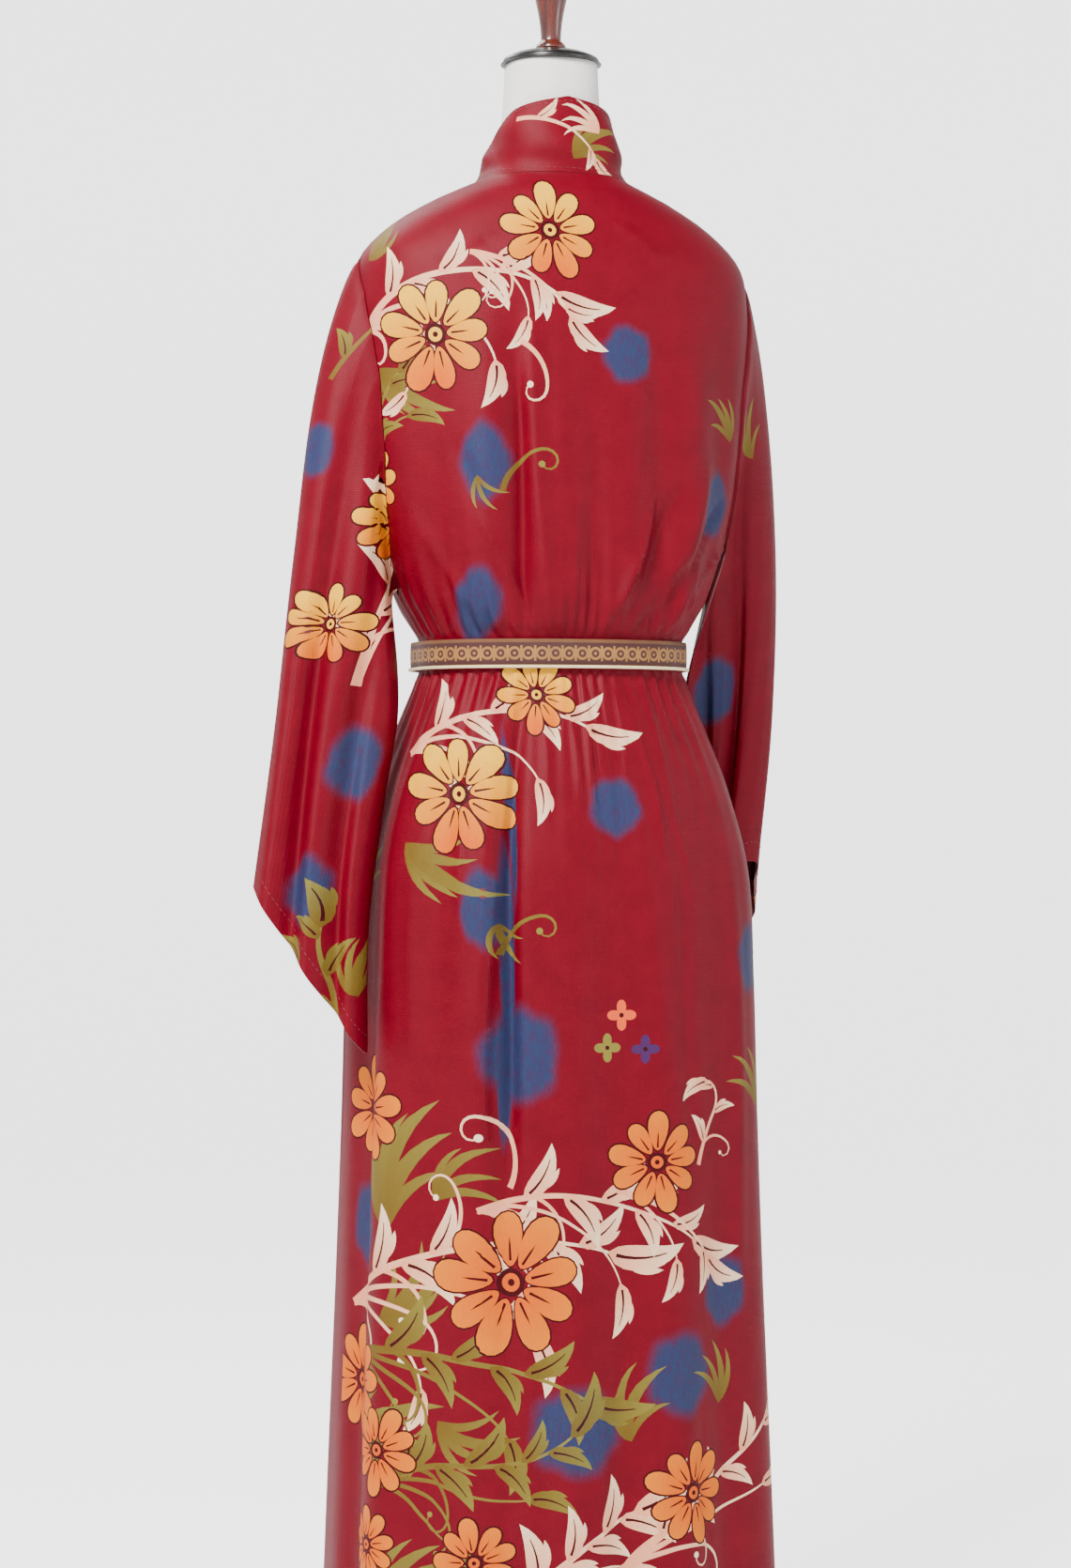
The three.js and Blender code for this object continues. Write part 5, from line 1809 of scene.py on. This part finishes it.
@dataclass
class Belt:
    """The narrow woven belt with its corded lower edge, knot and tails."""
    palette: Palette
    width: float = BELT_WIDTH
    thickness: float = 2.4
    clearance: float = 1.5
    cord: float = 1.5
    knot: tuple[float, float, float] = (19.0, 11.0, 17.0)
    tail_lengths: tuple[float, float] = (400.0, 350.0)
    tail_thickness: float = 1.8
    tail_spread: float = 26.0

    def lift(self, angle: Array) -> Array:
        """How far the belt's inside stands off the robe at an angle."""
        turn = (-np.asarray(angle, float)) % 360
        over_front = smooth(2, 22, turn) * (1 - smooth(157, 177, turn))
        return (OVERLAP_LIFT + BAND_PROUD) * over_front + self.clearance

    def outside(self, angle: Array, z: Array, proud: Array | float = 0.0) -> Array:
        """Points on the belt's outside, or proud of it."""
        radius = SURFACE.ring_radius(angle, BELT_Z - self.width / 2) + self.lift(angle)
        return upright(radius + self.thickness + proud, angle, z)

    def front_y(self) -> float:
        """The place of the belt's outside at the centre front."""
        return float(self.outside(-90, BELT_Z)[1]) - 0.5

    def band(self) -> tuple[Piece, float]:
        """The band round the waist, and its length in metres."""
        half = self.width / 2 - 1
        angle = np.linspace(0, 360, 361)
        back = 0.2 - self.thickness
        section = np.array([(-1, 0.0), (-0.6, 0.45), (0, 0.6), (0.6, 0.45), (1, 0.0), (1, back), (0, back),
                            (-1, back), (-1, 0.0)])
        rise, proud = half * section[:, :1], section[:, 1:]
        ripple = 0.25 * np.sin(np.radians(angle) * 23) * np.cos(np.radians(angle) * 7)
        points = self.outside(angle[:-1], BELT_Z + rise, proud + ripple[:-1])
        steps = np.linalg.norm(np.diff(self.outside(angle, BELT_Z), axis=0), axis=-1)
        along = np.concatenate([[0], np.cumsum(steps)])
        flat = np.stack(np.broadcast_arrays(along[None, :], rise), -1)
        piece = grid_mesh("belt_band", points[:-1], self.palette.sash, closed=True, ring=True, flat=flat)
        return piece, float(along[-1]) * MM

    def edge_cord(self) -> Piece:
        """The pale cord along the belt's lower edge."""
        angle = np.arange(0, 360, 1.0)
        phase = np.linspace(0, 2 * math.pi, 10, endpoint=False)
        rise = BELT_Z - self.width / 2 + self.cord + 0.3 + self.cord * np.sin(phase)[:, None]
        twist = 0.12 * np.sin(np.radians(angle) * 160)
        proud = self.cord * 0.8 + self.cord * np.cos(phase)[:, None] + twist
        points = self.outside(angle, rise, proud)
        return grid_mesh("belt_cord_edge", points, self.palette.piping, closed=True, ring=True)

    def knot_piece(self) -> Piece:
        """The flat knot, with the turns of the band that show across it."""
        wide, deep, tall = self.knot
        polar = np.linspace(0.02, math.pi - 0.02, 40)[:, None]
        turn = np.linspace(0, 2 * math.pi, 72, endpoint=False)
        x, y, z = np.sin(polar) * np.cos(turn), np.sin(polar) * np.sin(turn), np.cos(polar) + 0 * turn
        wrap = np.abs(np.sin(3.2 * (x * 0.5 + z) + 0.5)) ** 0.5 - 0.75
        swell = 0.93 + 0.07 * wrap * smooth(0.05, 0.4, np.sin(polar))
        middle = self.front_y() - SEAM_GAP - deep
        points = np.stack([x * wide * swell, middle + y * deep * swell, BELT_Z + z * tall * swell], -1)
        round_it, up_it = np.linspace(0, 2 * math.pi, 73)[None, :] * wide, np.linspace(-9, 9, 40)[:, None]
        flat = np.stack(np.broadcast_arrays(round_it, up_it), -1)
        return grid_mesh("belt_knot_wrap", points, self.palette.sash, closed=True, caps=True, flat=flat)

    def tail(self, lean: int, length: float, name: str) -> tuple[Piece, tuple[float, float]]:
        """One hanging end of the belt.

        Args:
            lean: 1 for the left tail and -1 for the right one.
            length: its length.
            name: the piece's name.

        Returns:
            The tail, and its flat width and length in metres.
        """
        width, top = self.width - 2, BELT_Z - self.knot[2] - SEAM_GAP
        share = np.linspace(0, 1, 100)
        z = top - share * length
        skirt = -SURFACE.point(np.full_like(z, -90.0), z)[:, 1] + OVERLAP_LIFT + 3
        settle_share = smooth(0, 80, top - z)
        y = -mix(-self.front_y() + self.knot[1], skirt + 3, settle_share)
        middle = lean * (width / 2 + 1 + self.tail_spread * share) + 0.8 * np.sin(share * 9) * share
        part = np.array([0.5, 0.3, 0.0, -0.3, -0.5])
        cup = np.array([0.0, 0.5, 0.7, 0.5, 0.0])
        middle, y = middle[:, None] + part * width, y[:, None] - cup
        front = np.stack(np.broadcast_arrays(middle, y, z[:, None]), -1)
        behind = front[:, ::-1] + (0, self.tail_thickness, 0)
        points = np.concatenate([front, behind], axis=1)
        across = np.concatenate([part, part[::-1], part[:1]]) * width
        flat = np.stack(np.broadcast_arrays(((1 - share) * length)[:, None], across[None, :]), -1)
        piece = grid_mesh(name, points, self.palette.sash, closed=True, caps=True, flat=flat)
        return piece, (width * MM, length * MM)

    def build(self) -> None:
        """Builds every piece of the belt."""
        (band, length_round), cord, knot = self.band(), self.edge_cord(), self.knot_piece()
        settle(band, "sash_weave", "belt")
        settle(cord, "sash_weave")
        settle(knot, "sash_weave", "belt_knot")
        for lean, length, side in zip((1, -1), self.tail_lengths, ("left", "right")):
            tail, flat = self.tail(lean, length, f"belt_end_{side}")
            settle(tail, "sash_weave", f"belt_tail_{side}")
        log.info("belt: band of %.3f m, cord, knot and two tails", length_round)


@dataclass
class Stitching:
    """Rows of stitches that follow lines on the cloth, laid by a node tree."""
    palette: Palette
    pitch: float = 6.0
    length: float = 4.0
    radius: float = 0.4
    inset: float = 18.0
    proud: float = 0.1
    cuff_at: float = 0.965
    seed: int = 7

    def tree(self) -> NodeTree:
        """The node tree that lays stitches along lines."""
        tree = bpy.data.node_groups.new("stitch_rows", "GeometryNodeTree")
        sockets = (("Geometry", "Geometry"), ("Pitch", "Float"), ("Length", "Float"), ("Radius", "Float"),
                   ("Seed", "Int"), ("Material", "Material"))
        for name, kind in sockets:
            tree.interface.new_socket(name, in_out="INPUT", socket_type="NodeSocket" + kind)
        tree.interface.new_socket("Geometry", in_out="OUTPUT", socket_type="NodeSocketGeometry")
        nodes = Nodes(tree)
        entry, end = nodes.add("NodeGroupInput").outputs, nodes.add("NodeGroupOutput")
        lines = nodes.add("GeometryNodeMeshToCurve", {"Mesh": entry["Geometry"]})
        spaced = nodes.add("GeometryNodeResampleCurve", {
            "Curve": lines.outputs[0], "Length": entry["Pitch"]}, mode="LENGTH")
        places = nodes.add("GeometryNodeCurveToPoints", {"Curve": spaced.outputs[0]}, mode="EVALUATED")
        along = nodes.add("FunctionNodeAlignRotationToVector", {
            "Vector": places.outputs["Tangent"]}, axis="Z")
        hump = nodes.add("GeometryNodeMeshUVSphere", {"Segments": 6, "Rings": 4, "Radius": 1.0})
        half = nodes.math("MULTIPLY", entry["Length"], 0.5)
        size = nodes.add("ShaderNodeCombineXYZ", {0: entry["Radius"], 1: entry["Radius"], 2: half})
        stitch = nodes.add("GeometryNodeTransform", {"Geometry": hump.outputs[0], "Scale": size.outputs[0]})
        uneven = nodes.add("FunctionNodeRandomValue", {
            2: 0.88, 3: 1.06, "Seed": entry["Seed"]}, data_type="FLOAT")
        laid = nodes.add("GeometryNodeInstanceOnPoints", {
            "Points": places.outputs["Points"], "Instance": stitch.outputs[0], "Rotation": along.outputs[0],
            "Scale": uneven.outputs[1]})
        solid = nodes.add("GeometryNodeRealizeInstances", {0: laid.outputs[0]})
        thread = nodes.add("GeometryNodeSetMaterial", {
            "Geometry": solid.outputs[0], "Material": entry["Material"]})
        nodes.feed(end, {0: thread.outputs[0]})
        return tree

    def rows(self) -> dict[str, list[Array]]:
        """The lines that the stitches follow, by the piece that they make."""
        band = Neckband().panel()
        proud = band.points + band.normals * self.proud
        hem = HEM_Z + self.inset
        back, left, right = (np.linspace(*ends, 400) for ends in ((1, 179), (-119, -1), (-179, -150)))
        turn = np.linspace(0, 2 * math.pi, 300)
        at = np.full(300, self.cuff_at)
        return {
            "hem_stitches": [SURFACE.point(back, hem, self.proud),
                             SURFACE.point(left, hem, overlap_lift(left) + self.proud),
                             SURFACE.point(right, hem, self.proud)],
            "cuff_stitches_left": [Sleeve(LEFT_SLEEVE, 1).point(at, turn)],
            "cuff_stitches_right": [Sleeve(RIGHT_SLEEVE, -1).point(at, turn)],
            "neckband_stitches": [proud[:, 1], proud[:, -2]],
        }

    def build(self) -> None:
        """Lays every row and keeps the stitches as plain meshes."""
        tree = self.tree()
        values = {"Pitch": self.pitch * MM, "Length": self.length * MM, "Radius": self.radius * MM,
                  "Seed": self.seed, "Material": self.palette.thread}
        for name, lines in self.rows().items():
            ends = np.cumsum([len(line) for line in lines])
            edges = [(k, k + 1) for k in range(ends[-1] - 1) if k + 1 not in ends]
            mesh = bpy.data.meshes.new(name + "_line")
            mesh.from_pydata((np.concatenate(lines) * MM).tolist(), edges, [])
            piece = linked(name, mesh)
            layer = piece.modifiers.new("stitches", "NODES")
            layer.node_group = tree
            for socket in tree.interface.items_tree:
                if socket.in_out == "INPUT" and socket.name in values:
                    layer[socket.identifier] = values[socket.name]
            shown = bpy.context.evaluated_depsgraph_get()
            made = bpy.data.meshes.new_from_object(piece.evaluated_get(shown), depsgraph=shown)
            piece.modifiers.remove(layer)
            piece.data = made
            made.name = name
            settle(piece, "printed_satin")
            log.info("%s: %d faces", name, len(made.polygons))


# ---- The dress form and its stand ----

FORM_RINGS = Table(("z", "side", "back", "front"), (
    (760, 152, 106, 94), (772, 158, 111, 98), (840, 160, 116, 102), (915, 145, 106, 96),
    (1000, 117, 87, 88), (1060, 112, 82, 88), (1150, 124, 84, 98), (1220, 139, 88, 112),
    (1300, 154, 92, 116), (1365, 170, 90, 92), (1408, 178, 87, 78), (1440, 147.5, 78, 67),
    (1466, 99, 66, 53), (1484, 63, 56, 48), (1500, 54, 52, 48), (1545, 46, 46, 45), (1594, 43, 43, 43)))
NECK_CAP_PROFILE = (
    (0.01, 0), (44, 0), (45.2, 1.2), (45.5, 2.5), (44.6, 4.6), (43, 6), (32, 10.5), (14, 13.5), (0.01, 14))
FINIAL_PROFILE = (
    (0.01, 0), (13, 0), (14, 3), (12, 6), (9.5, 9), (10, 20), (12, 34), (15.5, 50), (19, 66), (21, 80),
    (20, 92), (15, 102), (9, 107), (8.5, 110), (11, 114), (11.5, 121), (7, 128), (0.01, 131))
BASE_PROFILE = (
    (0.01, 0), (146, 0), (149.2, 1.2), (150, 4), (150, 11), (147.5, 14.2), (142, 16), (90, 20), (34, 22),
    (30, 23.4), (28, 26), (0.01, 26))


@dataclass
class DressForm:
    """The limbless form under the robe, its neck cap and finial, and the stand."""
    palette: Palette
    bottom: float = 760.0
    neck_top: float = 1594.0
    base_height: float = 26.0
    pole: float = 15.0
    inside: float = 0.4
    around: int = 72

    def lathe(self, name: str, profile: Sequence[tuple[float, float]], foot: float,
              material: Material, finer: int = 4) -> Piece:
        """A turned piece with a smooth profile.

        Args:
            name: the piece's name.
            profile: radius and height above the foot, from the foot up.
            foot: the height of the foot.
            material: its material.
            finer: how many points stand for each of the profile's.

        Returns:
            The piece.
        """
        keys = np.arange(len(profile), dtype=float)
        table = Table(("at", "radius", "height"), tuple((k, *row) for k, row in zip(keys, profile)))
        at = np.linspace(0, len(profile) - 1, (len(profile) - 1) * finer + 1)
        radius, height = np.maximum(table.at(at, "radius"), 0.01), table.at(at, "height")
        height = np.clip(height, 0, profile[-1][1])
        angle = np.linspace(0, 360, self.around, endpoint=False)
        points = upright(radius[:, None], angle, foot + height[:, None])
        return grid_mesh(name, points, material, closed=True)

    def torso(self) -> Piece:
        """The linen-covered torso and neck."""
        z = np.concatenate([[self.bottom], np.linspace(self.bottom + 2, self.neck_top, 150)])
        angle = np.linspace(0, 360, 96, endpoint=False)
        angle, height = np.meshgrid(angle, z)
        radius = SURFACE.ring_radius(angle, height, FORM_RINGS) - self.inside
        points = upright(radius, angle, height)
        return grid_mesh("form_body", points, self.palette.linen, closed=True, caps=True)

    def build(self) -> None:
        """Builds every piece of the form and the stand."""
        torso = self.torso()
        cap_foot, foot = self.neck_top + SEAM_GAP, self.base_height + SEAM_GAP
        length = self.bottom - SEAM_GAP - foot
        pole_profile = (
            (0.01, 0), (self.pole + 5, 0), (self.pole + 5, 9), (self.pole, 18), (self.pole, length * 0.5),
            (self.pole, length - 1), (self.pole - 1, length), (0.01, length))
        finial_foot = cap_foot + SEAM_GAP + NECK_CAP_PROFILE[-1][1]
        wood, lacquer = ("turned_mahogany", self.palette.wood), ("black_lacquer", self.palette.lacquer)
        settle(torso, "form_linen", "form_torso")
        for name, profile, start, (slot, material), node in (
                ("form_cap", NECK_CAP_PROFILE, cap_foot, lacquer, "form_neck_cap"),
                ("form_top_finial", FINIAL_PROFILE, finial_foot, wood, "form_finial"),
                ("stand_upright", pole_profile, foot, wood, "stand_pole"),
                ("stand_foot", BASE_PROFILE, 0.0, wood, "stand_base")):
            settle(self.lathe(name, profile, start, material), slot, node)
        log.info("dress form: torso, cap, finial, pole and base")


# ---- Stage ----

# Each light's place and size in metres, its watts and its colour.
LIGHTS = (
    ("key", (1.5, 1.7, 3.1), 0.9, 190, (1.0, 0.97, 0.95)),
    ("fill", (-2.8, 2.2, 1.7), 1.2, 26, (0.96, 0.98, 1.0)),
    ("front", (0.8, -1.6, 3.2), 1.4, 40, (1.0, 1.0, 1.0)))


@dataclass(frozen=True)
class Studio:
    """The floor, the lights and the camera."""
    turn: float = 17.0
    distance: float = 3300.0
    height: float = 921.0
    aside: float = 14.5
    frame_height: float = 1469.6
    wall: float = 9000.0
    bend: float = 3000.0
    look_height: float = 1.0

    def camera(self) -> None:
        """Places the camera level, behind the robe."""
        turn = math.radians(self.turn)
        towards = Vector((math.sin(turn), math.cos(turn), 0))
        left = Vector((math.cos(turn), -math.sin(turn), 0))
        target = left * self.aside * MM + Vector((0, 0, self.height * MM))
        data = bpy.data.cameras.new("camera")
        data.sensor_width = 36.0
        data.lens = data.sensor_width * self.distance / self.frame_height
        camera = linked("camera", data)
        camera.location = target + towards * self.distance * MM
        camera.rotation_euler = (target - camera.location).to_track_quat("-Z", "Y").to_euler()
        bpy.context.scene.camera = camera

    def light(self, name: str, place: Sequence[float], size: float, watts: float, colour: Colour) -> None:
        """One square area light that faces the robe.

        Args:
            name: its name.
            place: where it stands, in metres.
            size: its side, in metres.
            watts: its strength.
            colour: its colour.
        """
        data = bpy.data.lights.new(name, "AREA")
        data.shape, data.size, data.energy, data.color = "SQUARE", size, watts, colour
        lamp = linked(name, data)
        lamp.location = place
        towards = Vector((0, 0, self.look_height)) - lamp.location
        lamp.rotation_euler = towards.to_track_quat("-Z", "Y").to_euler()

    def build(self, palette: Palette) -> None:
        """Builds the floor, the world, the lights and the camera.

        Args:
            palette: the materials.
        """
        self.camera()
        sweep = np.linspace(0, math.pi / 2, 16)
        reach = np.concatenate([[1.0], self.wall - self.bend * (1 - np.sin(sweep)), [self.wall]])
        rise = np.concatenate([[0.0], self.bend * (1 - np.cos(sweep)), [self.wall]])
        points = upright(reach[:, None], np.linspace(0, 360, 96, endpoint=False), rise[:, None])
        grid_mesh("cove", points, palette.floor, closed=True)
        world = bpy.data.worlds.new("studio")
        bpy.context.scene.world = world
        world.use_nodes = True
        sky = world.node_tree.nodes["Background"]
        Nodes(world.node_tree).feed(sky, {"Color": (1, 1, 1), "Strength": 0.15})
        for name, place, size, watts, colour in LIGHTS:
            self.light(name, place, size, watts, colour)


def main() -> None:
    """Builds the scene in order."""
    palette = Palette()
    Studio().build(palette)
    DressForm(palette).build()
    garment = Garment(palette)
    garment.build()
    Belt(palette).build()
    Stitching(palette).build()


if __name__ == "__main__":
    main()
